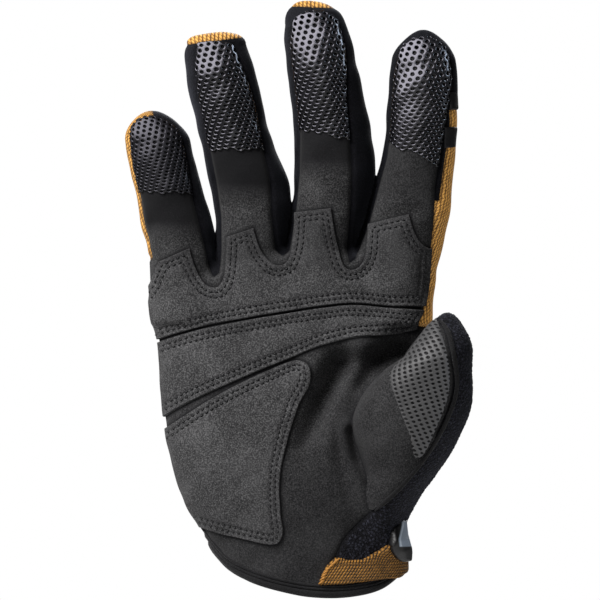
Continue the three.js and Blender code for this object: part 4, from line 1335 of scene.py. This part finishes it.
tan_weave = woven("tan_weave", (112, 74, 30), (240, 180, 92), RIB, BEAD, 0.8)
seam = np.min([other(cloth[0]) for other in taken], axis=0)
across, up = around_and_up(cloth[0])
tan_back = panel("tan_back", *cloth, seam, tan_weave, "back_panel", "woven",
                 {"across": across, "up": up})
lit_pieces["side_cloth"].objects.link(tan_back)

# Padded suede patches
# Three patches of the same suede over thin foam are sewn flat onto the palm: one across the
# knuckles with a tab up each finger, a slanting band below it, and one on the heel of the hand.
# Their cut edges stand up, and two rows of black thread run round just inside them.
PAD_THICKNESS = 1.25
PAD_EDGE = 0.3
PAD_PUFF = 0.35
PAD_SIDE_Y = -2.0
PAD_SHADE = 0.45
TAB_SHADE = 0.35
TAB_SHADE_FROM = 119
PAD_SHADOW = 0.9
PAD_SHADOW_WIDTH = 0.9
ROW_INSETS = (1.9, 3.7)
ROW_GROOVE = 0.32
ROW_WIDTH = 0.5
STITCH_PITCH = 2.1
STITCH_LENGTH = 1.5
STITCH_RADIUS = 0.3
CORNER_PULL = 0.55
CORNER_LEAN = 0.3
VALLEY_PULL = 1.4
TAB_SPREAD = 3
TAB_FOOT = 8

TABS = columns(("left_x", "left_z", "right_x", "right_z", "valley_x", "valley_z"), [
    (-58.1, 125.8, -47.0, 130.8, -37.3, 115.9),
    (-32.7, 135.0, -22.9, 138.4, -13.2, 124.2),
    (-7.1, 144.2, 6.2, 145.8, 13.2, 122.6),
    (20.4, 139.8, 35.3, 143.4, 44.0, 130.5),
])
PAD_LOWER_EDGE = [
    (44, 109), (30, 108.9), (14, 110.2), (2.7, 109.2), (-28, 104.2), (-48, 99.9), (-66, 94),
]
BAND_UPPER_EDGE = [
    (-66, 93), (-48, 99.0), (-28, 103.4), (2.7, 108.4), (14, 109.5), (30, 108.2), (42, 107.6),
]
BAND_LOWER_EDGE = [
    (38, 100.2), (24, 98.1), (13, 96.9), (5, 95.1), (-13, 88.1), (-28, 81.8), (-48, 72.4), (-66, 61),
]
HEEL_OUTLINE = [
    (-66, 56), (-55.5, 63.4), (-38, 74.8), (-18, 84.8), (-6.5, 88.8), (-2.2, 86.6), (-2.2, 80.6),
    (-6.3, 71.8), (-10.5, 58.5), (-13.2, 43), (-12.8, 32), (-12, 24), (-14.4, 20.3), (-28, 22.4),
    (-42, 26.4), (-60, 33),
]


def bezier(start, pull, push, end, parts=8):
    t = np.linspace(0, 1, parts + 1)[1:, None]
    start, pull, push, end = (np.array(point, float) for point in (start, pull, push, end))
    return (1 - t) ** 3 * start + 3 * (1 - t) ** 2 * t * pull + 3 * (1 - t) * t**2 * push + t**3 * end


def knuckle_outline():
    """Four tabs with a round valley between each pair."""
    tabs = list(zip(*TABS.values()))
    first = tabs[0]
    line = [np.array([(PAD_LOWER_EDGE[-1][0], first[1] - 2 * TAB_FOOT),
                      (first[0] - TAB_SPREAD, first[1] - TAB_FOOT), first[:2]])]
    for number, (_, _, right_x, right_z, valley_x, valley_z) in enumerate(tabs):
        drop, reach = (right_z - valley_z) * CORNER_PULL, (valley_x - right_x) * CORNER_PULL
        valley = (valley_x, valley_z)
        line.append(np.array([(right_x, right_z)]))
        line.append(bezier((right_x, right_z), (right_x + reach * CORNER_LEAN, right_z - drop),
                           (valley_x - reach, valley_z), valley))
        if number + 1 < len(tabs):
            left_x, left_z = tabs[number + 1][:2]
            climb, span = (left_z - valley_z) * CORNER_PULL, (left_x - valley_x) * CORNER_PULL
            line.append(bezier(valley, (valley_x + span * VALLEY_PULL, valley_z),
                               (left_x, left_z - climb), (left_x, left_z)))
    return np.vstack([*line, smooth_line(PAD_LOWER_EDGE, 8)])


def patch(region, levels=()):
    """The form's surface inside a region, in finer triangles, with extra lines near the edge."""
    level = region(form_points)
    near = (level[form_faces] < 1.5).any(1)
    points, faces = refined(*compacted(form_points, form_faces[near]))
    points, _ = settled(points)
    (points, faces), _ = cut(points, faces, region(points))
    for inset in levels:
        points, below, above = sliced(points, faces, region(points) + inset)
        points, faces = compacted(points, np.vstack([below, above]))
    points, outward = settled(points, 1)
    return points, faces, outward, np.maximum(-region(points), 0)


def raised_edge(inside, thickness, edge):
    """Height of a sheet near its edge: a quarter round."""
    part = 1 - np.clip(inside / edge, 0, 1)
    return thickness * np.sqrt(np.maximum(1 - part**2, 0))


def row_of_stitches(line, outward, lift):
    """Short arched lengths of thread along a line on the surface."""
    ahead = np.gradient(line, axis=0)
    length = np.linalg.norm(ahead, axis=1)
    ahead = ahead / np.maximum(length, 1e-6)[:, None]
    beside = np.cross(ahead, outward)
    sides, rings = 6, 5
    angles = np.arange(sides) / sides * 2 * np.pi
    part = np.linspace(-1, 1, rings)
    girth = np.sqrt(np.maximum(1 - (part * 0.97) ** 2, 0)) ** 0.5
    girth[[0, -1]] = 0.25
    arch = STITCH_RADIUS * (0.9 - 1.3 * part**2)
    points = (
        line[:, None, None]
        + ahead[:, None, None] * (part * STITCH_LENGTH / 2)[None, :, None, None]
        + outward[:, None, None] * (
            arch[:, None] + STITCH_RADIUS * girth[:, None] * np.sin(angles) + lift
        )[None, :, :, None]
        + beside[:, None, None] * (STITCH_RADIUS * girth[:, None] * np.cos(angles))[None, :, :, None]
    ).reshape(-1, 3)
    row = np.arange(rings - 1)[:, None] * sides
    a = (row + np.arange(sides)).ravel()
    b = (row + (np.arange(sides) + 1) % sides).ravel()
    one = np.concatenate([
        np.stack([a, b, b + sides], 1), np.stack([a, b + sides, a + sides], 1),
        [(0, k + 1, k) for k in range(1, sides - 1)],
        [(sides * (rings - 1), sides * (rings - 1) + k, sides * (rings - 1) + k + 1)
         for k in range(1, sides - 1)],
    ])
    count = sides * rings
    faces = (one[None] + (np.arange(len(line)) * count)[:, None, None]).reshape(-1, 3)
    return points, faces


def stitch_places(outline, inset, region):
    """Even places along an outline moved inwards, where the patch is really there."""
    closed = evenly(np.vstack([outline, outline[:1]]), 0.4)
    ahead = np.gradient(closed, axis=0)
    ahead = ahead / np.maximum(np.linalg.norm(ahead, axis=1, keepdims=True), 1e-9)
    turn = np.sign((closed[:-1, 0] * closed[1:, 1] - closed[1:, 0] * closed[:-1, 1]).sum())
    moved = closed + np.stack([-ahead[:, 1], ahead[:, 0]], axis=1) * inset * turn
    moved = moved[outline_reach(outline, *moved.T) < 0.08 - inset]
    gaps = np.flatnonzero(np.linalg.norm(np.diff(moved, axis=0), axis=1) > 2.5)
    rows = []
    for part in np.split(moved, gaps + 1):
        if len(part) < 8:
            continue
        places = evenly(part, STITCH_PITCH)
        y = front_y(*places.T)
        places = np.column_stack([places[:, 0], y, places[:, 1]])
        kept = (y < PAD_SIDE_Y - 0.5) & (region(places) < 0.4 - inset * 0.6)
        if kept.sum() > 3:
            rows.append(places[kept])
    return rows


pad_suede = suede("pad_suede", (39, 39, 40), (102, 102, 103), seam_width=0.35, seam_strength=0.35)
black_thread, tree, shader = material("black_thread")
twist = noise_of(tree, place_of(tree), 3000.0, 1.0)
set_shader(tree, shader, twist, 0.0001, 0.5,
           Base_Color=mixed(tree, twist, linear(6, 6, 8), linear(24, 24, 28)), Roughness=0.5,
           Specular_IOR_Level=0.4)


def tan_edge_x(z):
    """Where the palm ends and the tan cloth of the side begins, seen from in front."""
    line = smooth_line(TAN_EDGE, 6)[::-1]
    return np.interp(z, line[:, 1], line[:, 0])


PAD_THUMB_GAP = 0.3
PAD_TAN_GAP = 0.4
PAD_TURN = 0.4
PUFF_START = 0.4  # from the inner row of stitches
PUFF_WIDTH = 2.5
STITCH_LIFT = 0.12

band_outline = np.vstack([smooth_line(BAND_UPPER_EDGE, 8), smooth_line(BAND_LOWER_EDGE, 8)])
for name, node_name, outline, fill in (
    ("knuckle_patch", "knuckle_pad", knuckle_outline(), 0.5),
    ("palm_band_patch", "palm_band", band_outline, 0.4),
    ("heel_patch", "heel_pad", smooth_line(HEEL_OUTLINE, 5, closed=True), 0.6),
):
    def region(points, outline=outline):
        x, y, z = points.T
        above = rim_height(x) + BINDING_HEIGHT - z
        reach = np.maximum(np.maximum(outline_reach(outline, x, z), y - PAD_SIDE_Y), above)
        return np.max([reach, PAD_THUMB_GAP - thumb_reach(points), x - tan_edge_x(z) + PAD_TAN_GAP], axis=0)

    points, faces, outward, inside = patch(region, (0.1, 0.3))
    height = raised_edge(inside, PAD_THICKNESS, PAD_EDGE)
    beyond_rows = np.maximum(inside - ROW_INSETS[1] - PUFF_START, 0)
    height = height + PAD_PUFF * (1 - np.exp(-beyond_rows / PUFF_WIDTH))
    for inset in ROW_INSETS:
        height = height - ROW_GROOVE * np.exp(-(((inside - inset) / ROW_WIDTH) ** 2))
    points = points + outward * height[:, None]
    points, faces, source = turned_down(points, faces, outward, PAD_TURN)
    # Painted shade: each patch darkens with the painted shade of the suede under it, and its tabs darken
    # further towards the fingers.
    tab_shade = TAB_SHADE * np.clip((points[:, 2] - TAB_SHADE_FROM) / 8, 0, 1)
    patch_piece = piece_mesh(name, points, faces, pad_suede, {
        "seam": inside[source], "wear": (1 - PAD_SHADE * (1 - unshaded_share(points))) * (1 - tab_shade),
    }, crisp=CRISP)
    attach(patch_piece, "root")
    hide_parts(node_name)

    thread_points, thread_faces, count = [], [], 0
    for inset in ROW_INSETS:
        for places in stitch_places(outline, inset, region):
            places, outward = settled(places)
            row_points, row_faces = row_of_stitches(
                places, outward, PAD_THICKNESS - ROW_GROOVE + STITCH_LIFT
            )
            thread_points.append(row_points)
            thread_faces.append(row_faces + count)
            count += len(row_points)
    thread = piece_mesh(name + "_stitches", np.vstack(thread_points), np.vstack(thread_faces),
                        black_thread)
    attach(thread, "root")

    def pad_shadow(x, y, z, outline=outline):
        gap = np.where(y < PAD_SIDE_Y, outline_reach(outline, x, z), FAR)
        return PAD_SHADOW * np.exp(-((gap / PAD_SHADOW_WIDTH) ** 2))

    for piece in (palm_panel, thumb_front):
        shade(piece, pad_shadow)

# Grips
# Each fingertip and the thumb carry a thin glossy sheet of black rubber moulded onto the suede.
# It is a net: round holes in slanting rows leave ribs with rounded edges that catch the light.
GRIP_HEIGHT = 0.75
GRIP_WIDENING = 2.2
# The way from hole to hole along a row and down to the next row, and a hole's half length, half
# height and how far it is turned from the row, in degrees
LATTICES = {
    "little": ((1.95, -1.2), (-0.62, -1.8), (0.62, 0.62, 0)),
    "ring": ((2.03, -1.61), (-0.9, -2.13), (0.76, 0.76, 0)),
    "middle": ((2.03, -1.61), (-0.9, -2.13), (0.74, 0.74, 0)),
    "index": ((2.03, -1.61), (-0.9, -2.13), (0.74, 0.74, 0)),
    "thumb": ((2.0, 0.62), (-0.9, -2.2), (0.88, 0.46, -42)),
}
# Rings of a hole from the middle of the ribs inwards: share of the hole's radius, height, and
# how far its lower side slopes into the hole
HOLE_RINGS = [
    (1.34, 0.0, -0.08), (1.19, -0.02, -0.07), (1.04, -0.12, 0.1), (0.95, -0.26, 0.28),
    (0.89, -0.55, 0.34),
]
LOWER_ROWS = 0.68  # below the fingertip the finger leans away and the rows lie closer
TIP_ZONES = {"little": (163, 171), "ring": (188, 199), "middle": (193, 203), "index": (186, 196)}
THUMB_GRIP = [
    (44.8, 104.2), (47.6, 97.5), (50.0, 86), (49.6, 76), (45, 63.4), (40.2, 53.6), (37.6, 52.4),
    (35.2, 61), (31.6, 70.5), (28.2, 80), (28.0, 84), (32.7, 90), (36.8, 95.5), (41.0, 101.2),
]


def hole_cell(along_row, down, hole):
    """One hole with its share of the ribs: points across and up, heights, and triangles."""
    along_row, down = np.array(along_row), np.array(down)
    between = min(along_row - down, along_row + down, key=np.linalg.norm)
    around = np.array([along_row, between, down, -along_row, -between, -down])
    around = around[np.argsort(np.arctan2(around[:, 1], around[:, 0]))]
    corners = []
    for one, other in zip(around, np.roll(around, -1, axis=0)):
        corners.append(np.linalg.solve(2 * np.array([one, other]), [one @ one, other @ other]))
    corners = np.array(corners)
    middles = (corners + np.roll(corners, -1, axis=0)) / 2
    outer = np.stack([corners, middles], axis=1).reshape(-1, 2)
    facing = outer / np.linalg.norm(outer, axis=1, keepdims=True)
    turn = math.atan2(along_row[1], along_row[0]) + math.radians(hole[2])
    row_way = np.array([math.cos(turn), math.sin(turn)])
    off_row = np.array([-row_way[1], row_way[0]])
    size = 1 / np.hypot(facing @ row_way / hole[0], facing @ off_row / hole[1])[:, None]
    low_side = np.maximum(-facing[:, 1:], 0)
    rings = [outer] + [facing * size * (part - slope * low_side) for part, _, slope in HOLE_RINGS]
    heights = np.repeat([0.0] + [height for _, height, _ in HOLE_RINGS], 12)
    place = np.arange(12)
    after = (place + 1) % 12
    faces = []
    for ring in range(len(HOLE_RINGS)):
        a, b = ring * 12 + place, ring * 12 + after
        faces += [np.stack([a, b, b + 12], 1), np.stack([a, b + 12, a + 12], 1)]
    return np.vstack(rings), heights, np.vstack(faces)


def tube_front(tube, x, z):
    """Depth of a tube's palm side."""
    rows, power = tube["rows"], tube["roundness"]
    tip_height, tip_centre, squareness = tube["tip"]
    shoulder = rows["height"][-1]
    left, right, front, back = (along(rows, name, z) for name in SECTION[1:])
    front = front + tube.get("front_lean", 0) * np.clip(z - shoulder, 0, tip_height - shoulder)
    part = np.clip((z - shoulder) / (tip_height - shoulder), 0, 1)
    middle = (left + right) / 2 + (tip_centre - (left + right) / 2) * part
    room = np.maximum(1 - part**squareness, 0) ** (power / squareness)
    across = np.abs(x - middle) / ((right - left) / 2)
    deep = np.maximum(room - across**power, 0) ** (1 / power)
    return (front + back) / 2 - (back - front) / 2 * deep


NET_LEVELS = 300
NET_BELOW = 4  # how far under its foot the net is laid out
NET_TOP_GAP = 0.05
NET_CLOSEST = 0.3  # closeness of the rows over the top of a tip


def net(tube, whole_cells, edge, along_row, down, hole, foot, lower_rows, tip_zone):
    """The perforated sheet: cells whose middles are in one region, trimmed along an edge."""
    cell, heights, cell_faces = hole_cell(along_row, down, hole)
    rows, (tip_height, _, _) = tube["rows"], tube["tip"]
    shoulder = rows["height"][-1]
    levels = np.linspace(foot - NET_BELOW, tip_height - NET_TOP_GAP, NET_LEVELS)
    blend_low, blend_high = tip_zone
    zone = np.clip((levels - blend_low) / (blend_high - blend_low), 0, 1)
    closeness = lower_rows + (1 - lower_rows) * zone * zone * (3 - 2 * zone)
    dome = np.clip((levels - shoulder) / (tip_height - shoulder), 0, 1)
    closeness = closeness * np.maximum(np.sqrt(1 - dome**2), NET_CLOSEST)
    lengths = np.concatenate([[0], np.cumsum(np.diff(levels) / closeness[1:])])
    reach = int(lengths[-1] / 1.2)
    first, second = np.meshgrid(np.arange(-reach, reach), np.arange(-reach, reach))
    centres = first.reshape(-1, 1) * np.array(along_row) + second.reshape(-1, 1) * np.array(down)
    centres = centres + [0, lengths[-1]]
    half = (rows["right"].max() - rows["left"].min()) / 2 + 6
    centres = centres[(np.abs(centres[:, 0]) < half) & (centres[:, 1] > 0)
                      & (centres[:, 1] < lengths[-1])]

    def seen(flat):
        z = np.interp(flat[:, 1], lengths, levels)
        left, right = along(rows, "left", z), along(rows, "right", z)
        part = np.clip((z - shoulder) / (tip_height - shoulder), 0, 1)
        middle = (left + right) / 2 + (tube["tip"][1] - (left + right) / 2) * part
        width = (right - left) / 2
        return middle + width * np.sin(np.clip(flat[:, 0] / width, -1.5, 1.5)), z

    x, z = seen(centres)
    centres = centres[outline_reach(whole_cells, x, z) < 0]
    flat = (centres[:, None] + cell[None]).reshape(-1, 2)
    heights = np.tile(heights, len(centres))
    faces = (cell_faces[None] + (np.arange(len(centres)) * len(cell))[:, None, None]).reshape(-1, 3)
    _, first, shared = np.unique(np.round(flat, 3), axis=0, return_index=True, return_inverse=True)
    flat, faces = np.column_stack([flat, heights])[first], shared.reshape(-1)[faces]
    (flat, faces), _ = cut(flat, faces, outline_reach(edge, *seen(flat)))
    heights = flat[:, 2]
    x, z = seen(flat)
    tube_y = tube_front(tube, x, z)
    y = np.minimum(front_y(x, z, tube_y - 1.5, 16), tube_y + 3)
    points = np.stack([x, y, z], axis=1)
    points, outward = settled(points, 1)
    inside = np.clip(-outline_reach(edge, x, z) / 1.2, 0, 1)
    height = GRIP_HEIGHT * (0.3 + 0.7 * inside) + heights
    return points + outward * height[:, None], faces, outward, -heights


def glossy_rubber(name, smoothest, roughest, gloss):
    """Black rubber with fine scuffs."""
    made, tree, shader = material(name)
    scuff = noise_of(tree, place_of(tree), 420.0, 3.0, 0.6)
    fine = noise_of(tree, place_of(tree), 2600.0, 2.0)
    set_shader(tree, shader, sums(tree, "ADD", fine, sums(tree, "MULTIPLY", scuff, 1.5)), 0.00003,
               0.4, Base_Color=mixed(tree, scuff, linear(6, 6, 7), linear(15, 15, 17)),
               Roughness=share(tree, scuff, 0.3, 0.7, smoothest, roughest), Specular_IOR_Level=gloss)
    return made


grip_rubber = glossy_rubber("grip_rubber", 0.2, 0.28, 0.9)
little_rubber = glossy_rubber("little_grip_rubber", 0.32, 0.42, 0.5)
thumb_rubber, tree, shader = material("thumb_grip_rubber")
scuff = noise_of(tree, place_of(tree), 420.0, 3.0, 0.6)
# Painted shade: the slits' sunken walls are coloured darker than the ribs.
slit_painted_shade = share(tree, value_of(tree, "sunk"), 0.05, 0.25)
ribs = mixed(tree, scuff, linear(57, 57, 58), linear(79, 79, 80))
set_shader(tree, shader, scuff, 0.00008, 0.5,
           Base_Color=mixed(tree, slit_painted_shade, ribs, linear(38, 38, 39)),
           Roughness=sums(tree, "ADD", share(tree, scuff, 0.3, 0.7, 0.52, 0.6),
                          sums(tree, "MULTIPLY", slit_painted_shade, 0.5)), Specular_IOR_Level=0.45)

for label, finger in FINGERS.items():
    left_foot, right_foot = finger["grip_foot"]
    foot = min(left_foot, right_foot) - 4
    top = finger["leather_top"][0]
    whole_cells = finger_face(finger, -GRIP_WIDENING, left_foot + 1, right_foot + 1, top + 2)
    edge = finger_face(finger, 0.2, foot, foot, top - 0.3)
    points, faces, outward, _ = net(finger, whole_cells, edge, *LATTICES[label], foot, LOWER_ROWS,
                                    TIP_ZONES[label])
    points, faces, _ = turned_down(points, faces, outward, 0.5)
    rubber = little_rubber if label == "little" else grip_rubber
    grip = piece_mesh("grip_net_" + label, points, faces, rubber)
    lit_by_reflector(grip)
    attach(grip, "root")
    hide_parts("grip_" + label)

edge = smooth_line(THUMB_GRIP, 5, closed=True)
whole_cells = smooth_line(edge + 1.2 * (edge - edge.mean(0)) / 20, 1, closed=True)
points, faces, outward, sunk = net(THUMB, whole_cells, edge, *LATTICES["thumb"], 50, 1.0, (200, 201))
points, faces, source = turned_down(points, faces, outward, 0.5)
grip = piece_mesh("grip_net_thumb", points, faces, thumb_rubber, {"sunk": sunk[source]})
# Painted shade darkens the suede under the thumb's grip, where it shows through the slits.
SLIT_SHADE = 0.15  # how dark the suede lies under the thumb's grip
shade(thumb_front, lambda x, y, z: np.where(outline_reach(edge, x, z) < 0, SLIT_SHADE, 0))
for label in ("side_cloth", "thumb_rubber"):
    lit_pieces[label].objects.link(grip)
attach(grip, "root")
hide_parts("grip_thumb")

# Bars on the index finger
# Two short black rubber bars lie across the outer edge of the index finger, bonded over the
# tan cloth, so a little of the cloth shows between them.
BAR_BACK_Y = 8
INDEX_BARS = [
    # name, left edge, bottom, top, and how far its bottom and its top stand out
    ("index_bar_upper", 50.6, 182.6, 189.2, 0.75, 0.05),
    ("index_bar_lower", 48.6, 168.4, 176.2, 0.1, 0.3),
]
black_bar_rubber, tree, shader = material("black_bar_rubber")
grain = noise_of(tree, place_of(tree), 1500.0, 3.0, 0.6)
set_shader(tree, shader, grain, 0.0001, 0.6,
           Base_Color=mixed(tree, grain, linear(9, 9, 12), linear(22, 22, 27)),
           Roughness=share(tree, grain, 0.3, 0.7, 0.5, 0.7))
for node_name, left, bottom, top, stand_low, stand_high in INDEX_BARS:
    def region(points, left=left, bottom=bottom, top=top):
        x, y, z = points.T
        return np.max([left - x, bottom - z, z - top, y - BAR_BACK_Y,
                       tube_reach(INDEX, x, y, z) - 2], axis=0)

    points, faces, outward, inside = patch(region, (0.3, 0.8))
    height = 0.1 + np.interp(points[:, 2], (bottom, top), (stand_low, stand_high))
    height = height * raised_edge(inside, 1.0, 1.2)
    points, faces, _ = turned_down(points + outward * height[:, None], faces, outward, 0.4)
    bar = piece_mesh(node_name + "_rubber", points, faces, black_bar_rubber)
    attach(bar, "root")
    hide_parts(node_name)

# Cuff binding
# A black knitted tape is folded over the raw edge of the cuff and sewn through, which leaves
# a round rolled edge with a fine ridge above it all round the wrist opening.
# Section of the tape from its upper outer edge over the rim to the inside: height above the
# rim and how far it stands out from the cloth
TAPE_SECTION = [
    (5.0, 0.0), (4.95, 0.5), (4.6, 0.9), (4.2, 0.75), (3.95, 0.15), (3.7, 0.6), (3.3, 0.95),
    (2.9, 0.7), (2.7, 0.2), (2.4, 0.7), (1.9, 1.0), (1.2, 0.9), (0.6, 0.65), (0.1, 0.2),
    (-0.1, -0.5), (0.0, -1.3), (0.5, -2.0), (1.6, -2.4), (3.2, -2.5), (5.0, -2.4),
]
AROUND_STEPS = 360


def wrist_ring(height):
    """Places round the cuff at a height above its rim, and the way outwards at each."""
    angles = np.arange(AROUND_STEPS) / AROUND_STEPS * 2 * np.pi
    z = np.full(AROUND_STEPS, 10.0)
    for _ in range(12):
        left, right, front, back = (along(HAND["rows"], name, z) for name in SECTION[1:])
        power = 2 / HAND["roundness"]
        across = np.sign(np.cos(angles)) * np.abs(np.cos(angles)) ** power
        deep = np.sign(np.sin(angles)) * np.abs(np.sin(angles)) ** power
        x = (left + right) / 2 + (right - left) / 2 * across
        y = (front + back) / 2 + (back - front) / 2 * deep
        z = rim_height(x) + height
    return settled(np.stack([x, y, z], axis=1), 2)


rings = []
for height, stand in TAPE_SECTION:
    ring, outward = wrist_ring(height)
    ring[:, 2] = rim_height(ring[:, 0]) + height
    rings.append(ring + outward * stand)
points = np.vstack(rings)
row = np.arange(len(TAPE_SECTION) - 1)[:, None] * AROUND_STEPS
place = np.arange(AROUND_STEPS)[None]
a, b = (row + place).ravel(), (row + (place + 1) % AROUND_STEPS).ravel()
faces = np.concatenate([np.stack([a, a + AROUND_STEPS, b], 1),
                        np.stack([b, a + AROUND_STEPS, b + AROUND_STEPS], 1)])
binding = piece_mesh("cuff_binding_tape", points, faces, black_cloth)
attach(binding, "root")
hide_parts("cuff_binding")

# Wrist strap
# A tan woven strap closes the cuff: it comes round the thumb side of the wrist from the back
# and its end is overcast with thick tan thread where it is sewn to the palm side.
STRAP_HEIGHT = 1.5
STRAP_OUTLINE = [
    (1.4, 4.6), (2.4, 8.6), (4.4, 12.2), (7.4, 15.0), (9.6, 15.0), (12.4, 14.2), (17.6, 14.3),
    (21.4, 16.5), (27, 20), (60, 22), (60, 13.5), (34.8, 13.2), (34.5, 11.2), (33.4, 9.2),
    (30.5, 7.5), (20, 6.2), (11, 5.2),
]
STRAP_BACK = [(60, 9.5), (60, 22), (20, 27), (-16, 27), (-16, 11), (20, 9.5)]


def two_sided(front_outline, back_outline, points):
    """A region with one outline on the palm side and another on the back."""
    x, y, z = points.T
    front = outline_reach(np.array(front_outline, float), x, z)
    back = outline_reach(np.array(back_outline, float), x, z)
    return np.where(y < 0, front, back)


STRAP_WEAVE_SLANT = math.radians(-36)
tan_strap_weave = woven("tan_strap_weave", (32, 19, 5), (168, 117, 42), 0.9, 1.4, 0.6, 0.0006)
points, faces, outward, inside = patch(
    lambda places: two_sided(STRAP_OUTLINE, STRAP_BACK, places), (0.3, 0.8)
)
under_tab = np.clip((points[:, 2] - 16.5) / 3, 0, 1) * np.clip((points[:, 0] - 27) / 3, 0, 1)
height = 0.4 + raised_edge(inside, STRAP_HEIGHT, 0.9) * (1 - 0.95 * under_tab)
across, up = around_and_up(points)
turn_x, turn_z = math.cos(STRAP_WEAVE_SLANT), math.sin(STRAP_WEAVE_SLANT)
across, up = across * turn_x - up * turn_z, across * turn_z + up * turn_x
points, faces, source = turned_down(points + outward * height[:, None], faces, outward, 1.0)
strap = piece_mesh("tan_strap", points, faces, tan_strap_weave,
                   {"across": across[source], "up": up[source], "seam": inside[source] + 0.4})
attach(strap, "root")
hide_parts("wrist_strap")

OVERCAST_ENDS = [(2.6, 6.0), (4.2, 10.2), (7.9, 14.2)]
OVERCAST_PITCH = 1.45
OVERCAST_WAY = (0.84, 0.54)
OVERCAST_HALF = 1.6
OVERCAST_RADIUS = 0.46
tan_thread, tree, shader = material("tan_thread")
strand = noise_of(tree, place_of(tree), 1600.0, 2.0)
set_shader(tree, shader, strand, 0.0002, 0.6,
           Base_Color=mixed(tree, strand, linear(112, 70, 16), linear(206, 144, 58)), Roughness=0.7)
thread_points, thread_faces = [], []
for middle in evenly(smooth_line(OVERCAST_ENDS, 8), OVERCAST_PITCH):
    steps = np.linspace(-OVERCAST_HALF, OVERCAST_HALF, 9)[:, None]
    places = middle + steps * np.array(OVERCAST_WAY)
    line, outward = settled(np.column_stack([places[:, 0], front_y(*places.T), places[:, 1]]))
    arch = STRAP_HEIGHT + 0.35 - 0.5 * (steps / OVERCAST_HALF) ** 2
    ring_points, ring_faces = rolled(line + outward * arch, outward, OVERCAST_RADIUS)
    thread_faces.append(ring_faces + sum(map(len, thread_points)))
    thread_points.append(ring_points)
overcast = piece_mesh("strap_overcast_thread", np.vstack(thread_points), np.vstack(thread_faces),
                      tan_thread)
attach(overcast, "root")

# Closure tab
# The strap ends in a thick moulded tab of grey-blue rubber, bare on its face, with a dark glossy lower edge
# and side. The face's pale blue-grey is partly its own colour and partly a painted reflection, and a
# painted highlight runs along its left edge.
TAB_BASE = 1.6
TAB_HEIGHT = 2.2
TAB_RIGHT = columns(("height", "x"), [(13, 36.9), (18.4, 36.4), (23.6, 35.0), (28.9, 34.4)])
TAB_OUTLINE = [
    (27.2, 20.4), (28.2, 24.2), (29.6, 26.6), (33, 28.8), (60, 28.8), (60, 13.2), (31, 13.2),
    (28.8, 15.4), (27.4, 18.2),
]
TAB_BACK = [(60, 14), (60, 29), (12, 30), (8, 22), (12, 14)]
TAB_FACE_LEFT = ((18.0, 22.0, 27.0), (31.6, 31.1, 32.3))  # heights, and the pale face's left edge
tab_rubber, tree, shader = material("tab_rubber")
lower = share(tree, value_of(tree, "up"), 18.8, 19.4)
side = share(tree, value_of(tree, "beside"), 0.0, 0.3)
grain = noise_of(tree, place_of(tree), 1200.0, 3.0, 0.6)
# Painted reflection: the face's pale blue-grey is partly painted in to stand for a reflection on the
# rubber.
face_colour_and_reflection = mixed(tree, grain, linear(140, 155, 172), linear(176, 191, 209))
# Painted highlight: a pale streak along the left edge of the face.
off_painted_highlight = sums(tree, "ABSOLUTE", sums(tree, "SUBTRACT", value_of(tree, "beside"), 0.75))
face_colour_and_reflection = mixed(tree, share(tree, off_painted_highlight, 0.15, 0.45), linear(206, 219, 233), face_colour_and_reflection)
set_shader(tree, shader, grain, 0.00008, 0.5, Base_Color=mixed(
    tree, sums(tree, "MULTIPLY", lower, side), linear(11, 11, 13), face_colour_and_reflection
), Roughness=0.42, Specular_IOR_Level=0.5)
points, faces, outward, inside = patch(
    lambda places: two_sided(TAB_OUTLINE, TAB_BACK, places), (0.3, 0.8, 1.6)
)
height = TAB_BASE + raised_edge(inside, TAB_HEIGHT, 0.6)
height = height - 0.5 * np.clip((18 - points[:, 2]) / 4, 0, 1)
height = height * (1 - 0.9 * np.clip((points[:, 2] - 22) / 6.8, 0, 1))
right = np.interp(points[:, 2], TAB_RIGHT["height"], TAB_RIGHT["x"])
height = np.minimum(height, (right - points[:, 0]) / np.maximum(outward[:, 0], 0.3))
points, faces, source = turned_down(points + outward * height[:, None], faces, outward, 2.0)
beside = points[:, 0] - np.interp(points[:, 2], *TAB_FACE_LEFT)
tab = piece_mesh("closure_tab_rubber", points, faces, tab_rubber,
                 {"up": points[:, 2], "beside": beside})
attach(tab, "root")
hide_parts("closure_tab")
